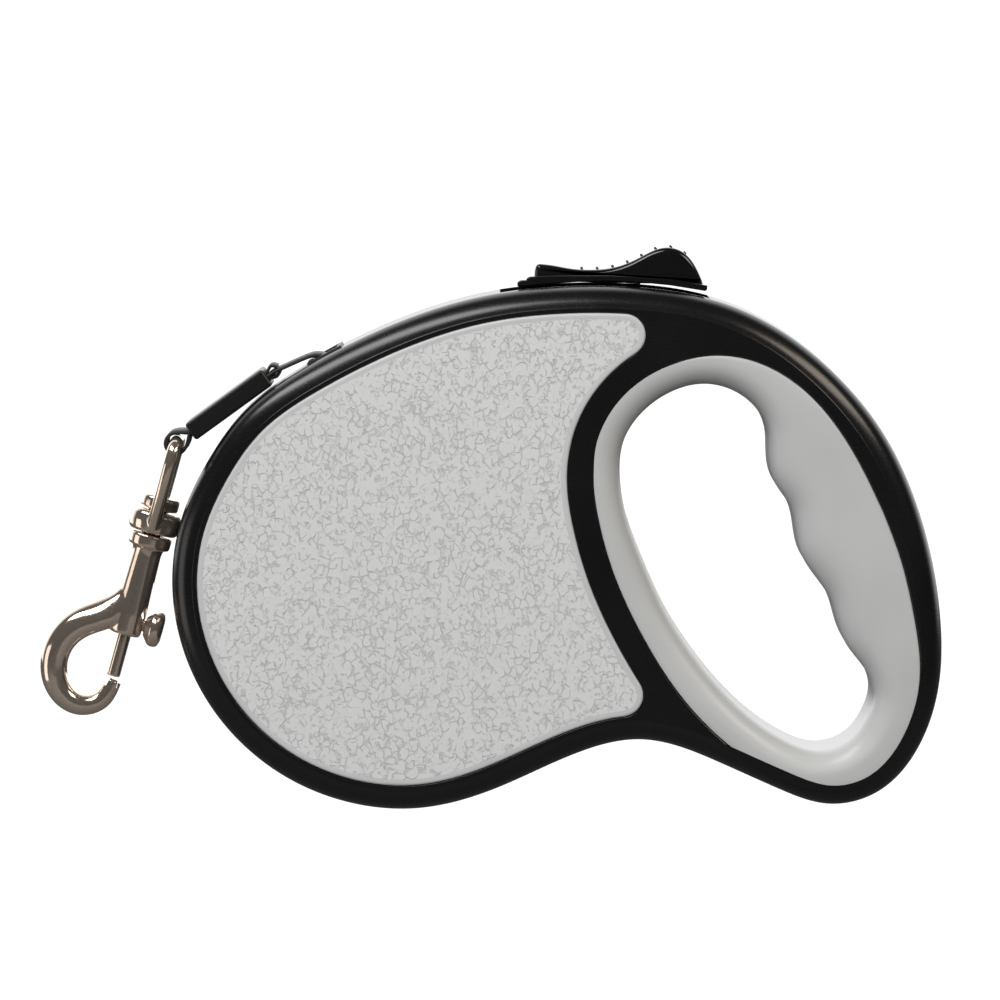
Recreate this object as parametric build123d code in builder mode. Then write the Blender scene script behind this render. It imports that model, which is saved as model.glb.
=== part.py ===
"""Retractable tape leash: casing, tape spool, thumb brake and snap hook, one STEP file per piece.

Frame: origin at the middle of the hand opening on the parting plane.  +X points from the leash end to
the hand end, +Y from the left shell to the right shell, +Z up.  All sizes are in millimetres.
"""
from build123d import *
from math import acos, atan2, cos, hypot, radians, sin
import os

# ---------------------------------------------------------------- driving dimensions
HALF = 16.5              # half of the casing's thickness
WALL = 2.2               # shell wall
CAVITY = 12.2            # half of the inside width
RIM = 6.0                # width of the plain rim round the side panels, and its rounding
STRIP = 6.0              # plain strip between a side panel and the grip
GRIP_T = 2.2             # grip liner thickness
GRIP_ROUND = 4.5         # rounding where the grip turns into the hand opening
PANEL_T = 1.5            # side panel thickness
POCKET = 1.3             # depth of the pocket that holds a side panel
PANEL_CORNER = 5.0

SPOOL = (-83.4, 1.4)     # spool axis, as (x, z)
TAPE_W = 15.0
TAPE_T = 0.8
TURNS = 25               # turns of tape on the full roll
HUB_R = 22.0             # drum on which the tape is wound
ROLL_R = HUB_R + TURNS * TAPE_T
FLANGE_R = 46.4
FLANGE_T = 1.5
DRUM_HALF = 8.0          # half of the space between the flanges
TEETH = 24
TOOTH_DEPTH = 3.5
AXLE_R = 3.0
ARBOR_R = 5.6
FIT = 0.05               # radial clearance of a running fit

PAWL_PIVOT = (-47.0, 46.0)
PAWL_SWING = 9.6         # degrees turned over the whole press
PRESS = 2.5              # travel of the thumb button
LOCK_TRAVEL = 3.5        # forward travel of the lock
HOOK_TILT = 15.5         # lean of the hanging snap hook, degrees from vertical
EYE_BAR = (-134.0, 29.2)  # axis of the eye's bar, as (x, z)
BAR_R = 1.6
RIVET_R = 2.1

# Outer edge of the casing, clockwise from the leash end, as (x, z).
CASING_EDGE = [
    (-134.8, -3.3), (-132.4, 12.4), (-127.7, 23.0), (-117.7, 37.0), (-102.9, 47.6), (-81.3, 58.1),
    (-62.8, 63.8), (-44.1, 66.1), (-25.3, 65.9), (-6.6, 62.6), (7.5, 56.0), (21.6, 44.5),
    (30.9, 33.1), (40.3, 12.9), (45.0, -9.6), (45.0, -26.7), (41.0, -40.3), (30.9, -52.3),
    (19.2, -55.3), (7.5, -51.8), (-6.6, -45.5), (-25.3, -40.1), (-39.4, -43.1), (-58.1, -51.3),
    (-76.9, -56.3), (-95.6, -54.4), (-109.7, -48.1), (-123.8, -35.2), (-132.2, -19.2),
]
# Oval edge of the grip liner.
GRIP_EDGE = [
    (-6.6, 50.4), (-15.9, 49.0), (-25.3, 44.1), (-33.8, 33.5), (-36.3, 21.1), (-35.2, 12.4),
    (-31.2, -1.6), (-24.6, -15.7), (-15.5, -29.8), (-5.4, -40.3), (4.9, -47.3), (14.1, -50.7),
    (22.9, -51.2), (31.2, -47.3), (36.3, -40.3), (39.4, -31.5), (40.3, -22.0), (39.1, -12.2),
    (35.9, 1.9), (30.5, 15.9), (21.6, 32.3), (12.2, 42.9), (2.8, 48.5),
]
# Hand opening: a plain oval on the left, four finger seats on the right.
HAND_EDGE = [
    (-10.1, 43.4), (-18.5, 41.3), (-25.8, 35.6), (-29.1, 30.0), (-30.0, 23.0), (-28.6, 13.1),
    (-24.6, 1.9), (-19.5, -9.4), (-12.4, -20.6), (-2.6, -31.9), (8.9, -40.3), (16.9, -42.7),
    (23.9, -40.3), (28.1, -34.7), (29.5, -29.1), (27.4, -23.4), (23.2, -17.8), (21.1, -12.7),
    (19.5, -7.5), (16.2, -2.3), (12.4, 3.8), (11.3, 8.9), (9.8, 14.8), (6.1, 20.6),
    (4.9, 26.5), (4.5, 32.3), (1.2, 38.4),
]
# Screws enter from the right side.
SCREWS = [(-14.0, 54.6), (-18.5, -34.5), (32.0, -6.0), (9.5, 44.5), (-56.5, 52.5), (-49.5, -38.8)]
SCREW_R = 1.4
HEAD_R = 2.8
BOSS_R = 3.2

# Tape outlet in the top wall.
OUTLET = (-99.0, 49.8)
OUTLET_ANGLE = 29.0      # slope of the wall there
OUTLET_LENGTH = 9.0      # room for the guide, along the wall
TAPE_GAP = 0.5           # gap between the full roll and the straight run
PULL = (-0.810, -0.586)  # direction in which the tape leaves the casing, as (x, z)

# Thumb button and the channel that it stands in.
CHANNEL_X = (-58.0, -9.0)
CHANNEL_HALF = 9.4
CHANNEL_FLOOR = 61.5
FLOOR_T = 2.0
POST_X = (-28.4, -25.1)
POST_HALF = 3.0
PAD_TOP = 52.8


def along_pull(start, distance):
    """A point at a distance from start along the pull direction."""
    return (start[0] + PULL[0] * distance, start[1] + PULL[1] * distance)


def turned(point, centre, degrees):
    """A point turned anticlockwise about centre, seen from the left side."""
    dx, dz = point[0] - centre[0], point[1] - centre[1]
    c, s = cos(radians(degrees)), sin(radians(degrees))
    return (centre[0] + dx * c - dz * s, centre[1] + dx * s + dz * c)


def closed_face(points, grow=0.0):
    """A face inside a closed spline, grown outwards or, with a negative amount, inwards."""
    with BuildSketch() as face:
        with BuildLine():
            edge = Spline(*points, periodic=True, mode=Mode.PRIVATE)
            count = 2 * len(points)
            turn = 1 if face_is_clockwise(points) else -1
            moved = []
            for step in range(count):
                place, along = edge @ (step / count), edge % (step / count)
                moved.append((place.X - turn * along.Y * grow, place.Y + turn * along.X * grow))
            Spline(*moved, periodic=True)
        make_face()
    return face.sketch


def face_is_clockwise(points):
    """Whether a closed outline runs clockwise, from the sign of its area."""
    pairs = zip(points, points[1:] + points[:1])
    return sum(a[0] * b[1] - b[0] * a[1] for a, b in pairs) < 0


def panel_face(clearance=0.0):
    """The spool-side panel: inside the rim and left of the strip round the grip."""
    with BuildSketch() as face:
        add(closed_face(CASING_EDGE, -RIM - clearance))
        add(closed_face(GRIP_EDGE, STRIP + clearance), mode=Mode.SUBTRACT)
        keep = face.faces().sort_by(Axis.X)[0]
        add(keep, mode=Mode.REPLACE)
        corners = face.vertices().sort_by(Axis.X)[-2:]
        fillet(corners, PANEL_CORNER)
    return face.sketch


def cavity_face():
    """The hollow inside the shells, clear of the hand opening and of the button's channel."""
    with BuildSketch() as face:
        add(closed_face(CASING_EDGE, -WALL))
        add(closed_face(HAND_EDGE, GRIP_T + WALL), mode=Mode.SUBTRACT)
        with Locations((sum(CHANNEL_X) / 2, CHANNEL_FLOOR - FLOOR_T + 10)):
            Rectangle(CHANNEL_X[1] - CHANNEL_X[0] + 2 * WALL, 20, mode=Mode.SUBTRACT)
    return face.sketch


def tilted(point, angle):
    """A plane whose Y runs across the casing's wall at a sloping place, and Z towards the left side."""
    return Plane(
        origin=(point[0], 0, point[1]),
        x_dir=(cos(radians(angle)), 0, sin(radians(angle))),
        z_dir=(0, -1, 0),
    )


OUTLET_PLANE = tilted(OUTLET, OUTLET_ANGLE)
HOOK_PLANE = tilted(EYE_BAR, -HOOK_TILT)      # X across the hook, Y up along its shank
HOOK_TOP = Plane(origin=HOOK_PLANE.origin, x_dir=HOOK_PLANE.x_dir, z_dir=HOOK_PLANE.y_dir)


def save(piece, name):
    """Label a piece and write its STEP file."""
    piece.part.label = name
    export_step(piece.part, f"parts/{name}.step")


# ---------------------------------------------------------------- casing
def make_shell(out):
    """Half of the casing.  out is 1 for the left half, towards -Y, and -1 for the right half."""
    with BuildPart() as shell:
        with BuildSketch(Plane.XZ):
            add(closed_face(CASING_EDGE))
        extrude(amount=out * HALF)
        fillet(shell.edges().group_by(Axis.Y)[0 if out > 0 else -1], RIM - 0.1)
        with BuildSketch(Plane.XZ):
            add(cavity_face())
        extrude(amount=out * CAVITY, mode=Mode.SUBTRACT)
        with BuildSketch(Plane.XZ.offset(out * (HALF - POCKET))):
            add(panel_face())
        extrude(amount=out * 2 * POCKET, mode=Mode.SUBTRACT)
        with BuildSketch(Plane.XZ.offset(out * (HALF - GRIP_T))):
            add(closed_face(GRIP_EDGE))
        extrude(amount=out * 2 * GRIP_T, mode=Mode.SUBTRACT)
        with BuildSketch(Plane.XZ):
            add(closed_face(HAND_EDGE, GRIP_T))
        extrude(amount=out * HALF, mode=Mode.SUBTRACT)
        add(shell_bosses(out).part)
        add(shell_openings(out).part, mode=Mode.SUBTRACT)
    return shell


def shell_bosses(out):
    """Screw bosses, the seats of the spool and of the pawl, and the ledge that carries the lock plate."""
    with BuildPart() as bosses:
        with BuildSketch(Plane.XZ):
            with Locations(*SCREWS):
                Circle(BOSS_R)
        extrude(amount=out * (CAVITY + 0.5))
        with BuildSketch(Plane.XZ.offset(out * 10.5)):
            with Locations(SPOOL):
                Circle(8.0)
            with Locations(PAWL_PIVOT):
                Circle(3.4)
        extrude(amount=out * 2.2)
        with BuildSketch(Plane.XZ.offset(out * 7.4)):
            with Locations((-30.0, 55.6)):
                Rectangle(26, 2.2)
        extrude(amount=out * 5.2)
    return bosses


def shell_openings(out):
    """Room for the screws, the axle, the pin, the button's channel and slot, and the tape outlet."""
    slot_start = POST_X[0] - LOCK_TRAVEL - 0.4
    slot_end = POST_X[1] + 0.4
    with BuildPart() as openings:
        with BuildSketch(Plane.XZ):
            with Locations(*SCREWS):
                Circle(SCREW_R)
        extrude(amount=out * (CAVITY + 0.5))
        with BuildSketch(Plane.XZ):
            with Locations(SPOOL):
                Circle(AXLE_R)
            with Locations(PAWL_PIVOT):
                Circle(1.5)
        extrude(amount=out * 14.0)
        with BuildSketch(Plane.XZ):
            with Locations((sum(CHANNEL_X) / 2, CHANNEL_FLOOR + 5)):
                Rectangle(CHANNEL_X[1] - CHANNEL_X[0], 10)
        extrude(amount=out * CHANNEL_HALF)
        with BuildSketch(Plane.XZ):
            with Locations(((slot_start + slot_end) / 2, CHANNEL_FLOOR - 1.0)):
                Rectangle(slot_end - slot_start, 4)
        extrude(amount=out * (POST_HALF + 0.3))
        with BuildSketch(OUTLET_PLANE):
            Rectangle(OUTLET_LENGTH, 9)
        extrude(amount=out * 9.5)
        if out < 0:
            with BuildSketch(Plane.XZ.offset(-(CAVITY + 0.5))):
                with Locations(*SCREWS):
                    Circle(SCREW_R)
            extrude(amount=-0.5)
            with BuildSketch(Plane.XZ.offset(-(CAVITY + 0.8))):
                with Locations(*SCREWS):
                    Circle(HEAD_R + 0.2)
            extrude(amount=-HALF)
    return openings


def make_panel(out):
    """Textured side panel, set in its pocket."""
    with BuildPart() as panel:
        with BuildSketch(Plane.XZ.offset(out * (HALF - POCKET))):
            add(panel_face(0.15))
        extrude(amount=out * PANEL_T)
        fillet(panel.edges().group_by(Axis.Y)[0 if out > 0 else -1], 0.5)
    return panel


def make_grip(out):
    """Half of the soft liner that wraps the hand opening."""
    with BuildPart() as grip:
        with BuildSketch(Plane.XZ):
            add(closed_face(GRIP_EDGE, -0.1))
            add(closed_face(HAND_EDGE), mode=Mode.SUBTRACT)
        extrude(amount=out * HALF)
        rims = grip.edges().group_by(Axis.Y)[0 if out > 0 else -1].sort_by(SortBy.LENGTH)
        fillet(rims[0], GRIP_ROUND)
        with BuildSketch(Plane.XZ):
            add(closed_face(GRIP_EDGE, 1.0))
            add(closed_face(HAND_EDGE, GRIP_T), mode=Mode.SUBTRACT)
        extrude(amount=out * (HALF - GRIP_T), mode=Mode.SUBTRACT)
    return grip


def make_screws():
    """Six pan-head screws, entered from the right side."""
    with BuildPart() as screws:
        with BuildSketch(Plane.XZ.offset(-(CAVITY + 0.8))):
            with Locations(*SCREWS):
                Circle(SCREW_R)
        extrude(amount=CAVITY + 0.8 + 10.0)
        with BuildSketch(Plane.XZ.offset(-(CAVITY + 0.8))):
            with Locations(*SCREWS):
                Circle(HEAD_R)
        extrude(amount=-1.3)
        with BuildSketch(Plane.XZ.offset(-(CAVITY + 2.1))):
            with Locations(*SCREWS):
                Rectangle(3.4, 0.7)
                Rectangle(0.7, 3.4)
        extrude(amount=0.8, mode=Mode.SUBTRACT)
    return screws


def make_outlet_guide():
    """Hard-wearing bush with rounded lips that lines the tape outlet."""
    with BuildPart() as guide:
        with BuildSketch(OUTLET_PLANE):
            with Locations((0, -0.85)):
                Rectangle(OUTLET_LENGTH, 2.7)
        extrude(amount=9.5, both=True)
        with BuildSketch(OUTLET_PLANE):
            Rectangle(5.4, 9)
        extrude(amount=8.0, both=True, mode=Mode.SUBTRACT)
        lips = guide.edges().filter_by(Axis.Y).sort_by_distance(OUTLET_PLANE.origin)[:4]
        fillet(lips, 1.0)
    return guide


def cylinder_about_y(centre, radius, y_from, y_to, bore=0.0):
    """A round piece along Y between two heights, with an optional bore."""
    with BuildPart() as piece:
        with BuildSketch(Plane.XZ.offset(-y_to)):
            with Locations(centre):
                Circle(radius)
                if bore:
                    Circle(bore, mode=Mode.SUBTRACT)
        extrude(amount=y_to - y_from)
    return piece


# ---------------------------------------------------------------- spool
def make_drum():
    """Drum with the ratchet flange on the left and an open cup for the spring on the right."""
    with BuildPart() as drum:
        with BuildSketch(Plane.XZ.offset(DRUM_HALF)):
            with Locations(SPOOL):
                Circle(FLANGE_R)
                Circle(AXLE_R + FIT, mode=Mode.SUBTRACT)
                with PolarLocations(FLANGE_R - TOOTH_DEPTH / 2 + 1, TEETH):
                    Rectangle(TOOTH_DEPTH + 2, 6.2, mode=Mode.SUBTRACT)
        extrude(amount=FLANGE_T)
        with BuildSketch(Plane.XZ.offset(-DRUM_HALF)):
            with Locations(SPOOL):
                Circle(HUB_R)
                Circle(HUB_R - 1.8, mode=Mode.SUBTRACT)
        extrude(amount=2 * DRUM_HALF)
        with BuildSketch(Plane.XZ.offset(DRUM_HALF - 1.5)):
            with Locations(SPOOL):
                Circle(HUB_R - 1.0)
                Circle(AXLE_R + FIT, mode=Mode.SUBTRACT)
        extrude(amount=2.0)
    return drum


def make_spiral(inner, outer, turns, thickness, width):
    """Flat clock spring made of half turns whose radius grows by half a pitch each."""
    pitch = (outer - inner) / turns
    starts = [inner + pitch * k / 2 for k in range(2 * turns)]
    with BuildPart() as spiral:
        with BuildSketch(Plane.XZ.offset(-width / 2)):
            with Locations(SPOOL):
                with BuildSketch(mode=Mode.PRIVATE) as strip:
                    with BuildLine():
                        spiral_edge(starts, pitch, 0.0)
                        spiral_edge(starts, pitch, thickness)
                        Line((starts[0], 0), (starts[0] - thickness, 0))
                        end = starts[-1] + pitch / 2
                        Line((end, 0), (end - thickness, 0))
                    make_face()
                add(strip.sketch)
        extrude(amount=width)
    return spiral


def spiral_edge(starts, pitch, inset):
    """One edge of the spring strip, as alternating half circles that meet on the X axis."""
    for number, radius in enumerate(starts):
        side = 1 if number % 2 == 0 else -1
        first = (side * (radius - inset), 0)
        last = (-side * (radius + pitch / 2 - inset), 0)
        middle_x = (first[0] + last[0]) / 2
        middle_z = side * (2 * radius + pitch / 2 - 2 * inset) / 2
        ThreePointArc(first, (middle_x, middle_z), last)


# ---------------------------------------------------------------- tape
def outlet_point(along, above):
    """A point near the outlet, as (x, z), from its place along and above the wall."""
    place = OUTLET_PLANE.from_local_coords((along, above, 0))
    return (place.X, place.Z)


def roll_tangent(point):
    """Where a straight line from a point meets the top of the full roll."""
    radius = ROLL_R + TAPE_GAP + TAPE_T / 2
    dx, dz = point[0] - SPOOL[0], point[1] - SPOOL[1]
    leave = atan2(dz, dx) - acos(radius / hypot(dx, dz))
    return (SPOOL[0] + radius * cos(leave), SPOOL[1] + radius * sin(leave))


TAPE_GATE = outlet_point(0.3, -0.85)            # middle of the outlet, where run and lead meet
TAPE_BEND = outlet_point(-2.25, 1.5)            # where the tape folds over the outlet's lip
SLEEVE_START = (-112.5, 44.9)
LEAD_PATH = [TAPE_GATE, TAPE_BEND, along_pull(SLEEVE_START, -1.5), SLEEVE_START]
SLEEVE_LENGTH = 22.3
SLEEVE_T = 4.6
LOOP_R = BAR_R + 0.35                           # inside of the tape loop round the eye's bar


def make_tape_run():
    """Straight tape from the top of the roll to the outlet."""
    with BuildPart() as run:
        with BuildSketch(Plane.XZ.offset(-TAPE_W / 2)):
            with BuildLine() as path:
                Line(roll_tangent(TAPE_GATE), TAPE_GATE)
            trace(path.line, TAPE_T)
        extrude(amount=TAPE_W)
    return run


def make_tape_lead():
    """Tape from the outlet to the stitched end, over the lip and along the casing."""
    with BuildPart() as lead:
        with BuildSketch(Plane.XZ.offset(-TAPE_W / 2)):
            with BuildLine() as path:
                FilletPolyline(*LEAD_PATH, radius=3.0)
            trace(path.line, TAPE_T)
        extrude(amount=TAPE_W)
    return lead


def make_sleeve():
    """Moulded sleeve over the stitched end of the tape."""
    end = along_pull(SLEEVE_START, SLEEVE_LENGTH)
    with BuildPart() as sleeve:
        with BuildSketch(Plane.XZ.offset(-TAPE_W / 2 - 1.0)):
            with BuildLine() as path:
                Line(SLEEVE_START, end)
            trace(path.line, SLEEVE_T)
        extrude(amount=TAPE_W + 2.0)
        fillet(sleeve.edges().filter_by(GeomType.LINE), 0.6)
    return sleeve


def make_tape_loop():
    """Tape doubled round the eye's bar."""
    end = along_pull(SLEEVE_START, SLEEVE_LENGTH)
    with BuildPart() as loop:
        with BuildSketch(Plane.XZ.offset(-TAPE_W / 2)) as outline:
            with Locations(EYE_BAR):
                Circle(LOOP_R + TAPE_T)
            with Locations(end):
                Circle(1.2)
            make_hull()
            with Locations(EYE_BAR):
                Circle(LOOP_R, mode=Mode.SUBTRACT)
        extrude(amount=TAPE_W)
        with BuildSketch(Plane.XZ.offset(-TAPE_W)):
            with BuildLine() as path:
                Line(along_pull(end, -0.0), along_pull(end, -8.0))
            trace(path.line, SLEEVE_T + 2)
        extrude(amount=2 * TAPE_W, mode=Mode.SUBTRACT)
    return loop


# ---------------------------------------------------------------- snap hook
def round_on_shank(low, high, radius):
    """A cylinder on the shank's axis between two heights."""
    with BuildPart() as piece:
        with BuildSketch(HOOK_TOP.offset(low)):
            Circle(radius)
        extrude(amount=high - low)
    return piece.part


def make_eye():
    """Swivel eye: a bar, two legs that close in, and the bored base that the rivet turns in."""
    side = Plane(origin=HOOK_PLANE.origin, x_dir=(0, 1, 0), z_dir=HOOK_PLANE.x_dir)
    middle = Plane(origin=HOOK_PLANE.origin, z_dir=(0, 1, 0))
    with BuildPart() as eye:
        with BuildLine(side):
            FilletPolyline((0, 0), (9.9, 0), (9.9, -9.0), (4.8, -20.0), radius=[3.2, 6.0])
        with BuildSketch(middle):
            Circle(BAR_R)
        sweep()
        mirror(about=middle)
        add(round_on_shank(-22.2, -16.8, 5.5))
        with BuildSketch(HOOK_TOP.offset(-22.4)):
            Circle(RIVET_R + FIT)
        extrude(amount=8, mode=Mode.SUBTRACT)
    return eye


# Centre line of the open hook, from the foot of the shank round to the tip, across and up the shank.
HOOK_CURVE = [
    (-1.0, -40.0), (-5.2, -43.0), (-9.6, -46.3), (-13.3, -51.0), (-14.4, -57.6), (-11.4, -63.6),
    (-5.4, -65.9), (-0.6, -63.4), (0.5, -58.0),
]
HOOK_WIRE = 2.8


def make_hook():
    """Hook body: rivet stem and head, collar, shank with the bolt's barrel, and the open hook."""
    with BuildPart() as hook:
        add(round_on_shank(-16.5, -13.6, 4.1))
        add(round_on_shank(-23.0, -16.0, RIVET_R))
        add(round_on_shank(-25.6, -22.6, 4.7))
        add(round_on_shank(-41.0, -25.0, 3.6))
        add(round_on_shank(-47.0, -40.5, 3.9))
        with BuildLine(HOOK_PLANE) as curve:
            Spline(*HOOK_CURVE)
        with BuildSketch(Plane(origin=curve.line @ 0, x_dir=(0, 1, 0), z_dir=curve.line % 0)):
            Circle(HOOK_WIRE)
        sweep()
        with BuildSketch(HOOK_TOP.offset(-48.0)):
            Circle(1.5 + FIT)
        extrude(amount=22.0, mode=Mode.SUBTRACT)
        with BuildSketch(HOOK_PLANE):
            with Locations((3.0, -42.0)):
                Rectangle(6.0, 17.0)
        extrude(amount=1.1, both=True, mode=Mode.SUBTRACT)
    return hook


def make_gate():
    """Spring bolt that closes the hook, with its thumb knob."""
    with BuildPart() as gate:
        add(round_on_shank(-57.3, -38.0, 1.5))
        with BuildSketch(HOOK_PLANE):
            with Locations((3.2, -44.6)):
                Rectangle(6.4, 3.6)
        extrude(amount=0.9, both=True)
        knob = Plane(origin=HOOK_PLANE.from_local_coords((5.6, -44.4, 0)), z_dir=HOOK_PLANE.x_dir)
        with BuildSketch(knob):
            Circle(3.8)
        extrude(amount=2.9)
        fillet(gate.edges().filter_by(GeomType.CIRCLE).sort_by(Axis.X)[-1], 1.2)
    return gate


def coil(plane, pitch, height, radius, wire):
    """A helical spring that starts on a plane."""
    with BuildPart() as spring:
        with BuildLine(plane) as path:
            Helix(pitch=pitch, height=height, radius=radius, direction=plane.z_dir)
        start = path.line @ 0
        with BuildSketch(Plane(origin=start, z_dir=path.line % 0)):
            Circle(wire)
        sweep(is_frenet=True)
    return spring


# ---------------------------------------------------------------- brake
def make_button():
    """Thumb button: a saddle on a thin flange, with the post that works the pawl."""
    with BuildPart() as button:
        with BuildSketch(Plane.XZ):
            with BuildLine():
                Spline((-48.6, 71.4), (-44.1, 70.5), (-37.4, 69.8), (-30.0, 70.6), (-25.3, 72.7),
                       (-20.6, 74.9), (-17.6, 75.1), (-13.6, 73.1), (-10.6, 67.8))
                Line((-10.6, 67.8), (-10.2, 66.2))
                Line((-10.2, 66.2), (-49.9, 67.4))
                Line((-49.9, 67.4), (-48.6, 71.4))
            make_face()
        extrude(amount=6.8, both=True)
        fillet(button.edges().group_by(Axis.Y)[0] + button.edges().group_by(Axis.Y)[-1], 1.2)
        with BuildSketch(Plane.XZ):
            with BuildLine():
                ThreePointArc((-53.8, 65.6), (-32.0, 66.5), (-9.7, 64.5))
                Line((-9.7, 64.5), (-9.5, 66.6))
                ThreePointArc((-9.5, 66.6), (-32.0, 68.4), (-53.6, 67.5))
                Line((-53.6, 67.5), (-53.8, 65.6))
            make_face()
        extrude(amount=8.7, both=True)
        with BuildSketch(Plane.XZ):
            with Locations((sum(POST_X) / 2, (PAD_TOP + 0.2 + 67.0) / 2)):
                Rectangle(POST_X[1] - POST_X[0], 67.0 - PAD_TOP - 0.2)
        extrude(amount=POST_HALF, both=True)
    return button


def make_nubs():
    """Rows of small soft nubs on the saddle."""
    rows = [(-39.0, 69.9), (-35.2, 70.0), (-31.6, 70.4), (-28.0, 71.5), (-24.6, 73.1), (-21.2, 74.7),
            (-17.6, 75.1), (-14.0, 73.4)]
    with BuildPart() as nubs:
        for x, z in rows:
            with Locations(*[(x, y, z) for y in (-4.2, -2.1, 0.0, 2.1, 4.2)]):
                Sphere(0.65)
    return nubs


def make_carrier():
    """Plate that slides with the button when it is pushed forward to lock."""
    with BuildPart() as carrier:
        with BuildSketch(Plane.XZ):
            with Locations((-28.0, 58.1)):
                Rectangle(17.0, 2.4)
        extrude(amount=10.5, both=True)
        with BuildSketch(Plane.XZ):
            with Locations((sum(POST_X) / 2, 58.1)):
                Rectangle(POST_X[1] - POST_X[0] + 2 * FIT, 4.0)
        extrude(amount=POST_HALF + FIT, both=True, mode=Mode.SUBTRACT)
    return carrier


def make_pawl():
    """Brake lever: the post pushes its pad down and its tooth swings into the ratchet flange."""
    reach = FLANGE_R - 1.5
    engaged = (SPOOL[0] + reach * cos(radians(30)), SPOOL[1] + reach * sin(radians(30)))
    tip = turned(engaged, PAWL_PIVOT, PAWL_SWING)
    above = FLANGE_R + 2.6
    knee = (SPOOL[0] + above * cos(radians(32.5)), SPOOL[1] + above * sin(radians(32.5)))
    elbow = turned(knee, PAWL_PIVOT, PAWL_SWING)
    with BuildPart() as pawl:
        with BuildSketch(Plane.XZ.offset(7.2)):
            with Locations(PAWL_PIVOT):
                Circle(3.6)
            with Locations(elbow):
                Circle(1.9)
            make_hull()
        extrude(amount=3.1)
        with BuildSketch(Plane.XZ.offset(7.2)):
            with Locations(elbow):
                Circle(1.9)
            with Locations(tip):
                Circle(1.4)
            make_hull()
        extrude(amount=3.1)
        with BuildSketch(Plane.XZ.offset(7.2)):
            with Locations(PAWL_PIVOT):
                Circle(3.6)
            with Locations((-26.3, PAD_TOP - 1.6)):
                Circle(1.6)
            make_hull()
        extrude(amount=3.1)
        with BuildSketch(Plane.XZ.offset(-3.2)):
            with Locations((-29.4, PAD_TOP - 1.5)):
                Rectangle(9.2, 3.0)
        extrude(amount=13.5)
        with BuildSketch(Plane.XZ):
            with Locations(PAWL_PIVOT):
                Circle(1.5 + FIT)
        extrude(amount=14.0, mode=Mode.SUBTRACT)
    return pawl


# ---------------------------------------------------------------- build
os.makedirs("parts", exist_ok=True)
save(make_shell(1), "left_shell")
save(make_shell(-1), "right_shell")
save(make_panel(1), "left_panel")
save(make_panel(-1), "right_panel")
save(make_grip(1), "left_grip")
save(make_grip(-1), "right_grip")
save(make_screws(), "casing_screws")
save(make_outlet_guide(), "outlet_guide")
save(cylinder_about_y(SPOOL, AXLE_R, -14.0, 14.0), "spool_axle")
save(cylinder_about_y(SPOOL, ARBOR_R, -6.0, 10.5, bore=AXLE_R), "spring_arbor")
save(cylinder_about_y(SPOOL, 7.5, -10.5, -9.6, bore=AXLE_R + FIT), "left_thrust_washer")
save(cylinder_about_y(SPOOL, 7.8, 9.6, 10.5, bore=ARBOR_R + FIT), "right_thrust_washer")
save(make_drum(), "spool_drum")
save(cylinder_about_y(SPOOL, FLANGE_R - 0.5, DRUM_HALF, DRUM_HALF + FLANGE_T, bore=ARBOR_R + FIT),
     "spool_flange")
save(cylinder_about_y(SPOOL, ROLL_R, -TAPE_W / 2, TAPE_W / 2, bore=HUB_R), "tape_roll")
save(make_spiral(6.6, 19.6, 11, 0.45, 10.0), "clock_spring")
save(make_tape_run(), "tape_run")
save(make_tape_lead(), "tape_lead")
save(make_sleeve(), "tape_sleeve")
save(make_tape_loop(), "tape_loop")
save(make_eye(), "swivel_eye")
save(make_hook(), "hook_body")
save(make_gate(), "gate_bolt")
save(coil(HOOK_TOP.offset(-37.6), 1.3, 10.0, 1.1, 0.25), "gate_spring")
save(make_button(), "brake_button")
save(make_nubs(), "button_nubs")
save(make_carrier(), "lock_carrier")
save(make_pawl(), "brake_pawl")
save(cylinder_about_y(PAWL_PIVOT, 1.5, -13.0, 13.0), "pawl_pin")
save(coil(Plane(origin=((POST_X[0] + POST_X[1]) / 2, 0, CHANNEL_FLOOR + 0.4)), 1.2, 3.4, 4.3, 0.3),
     "button_spring")
save(coil(Plane(origin=(PAWL_PIVOT[0], 6.6, PAWL_PIVOT[1]), z_dir=(0, 1, 0), x_dir=(1, 0, 0)), 1.0,
          3.0, 2.6, 0.35), "pawl_spring")
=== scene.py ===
"""Finished look of a retractable tape leash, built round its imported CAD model."""
import math

import bmesh
import bpy
import numpy as np
from mathutils import Matrix, Vector


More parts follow.
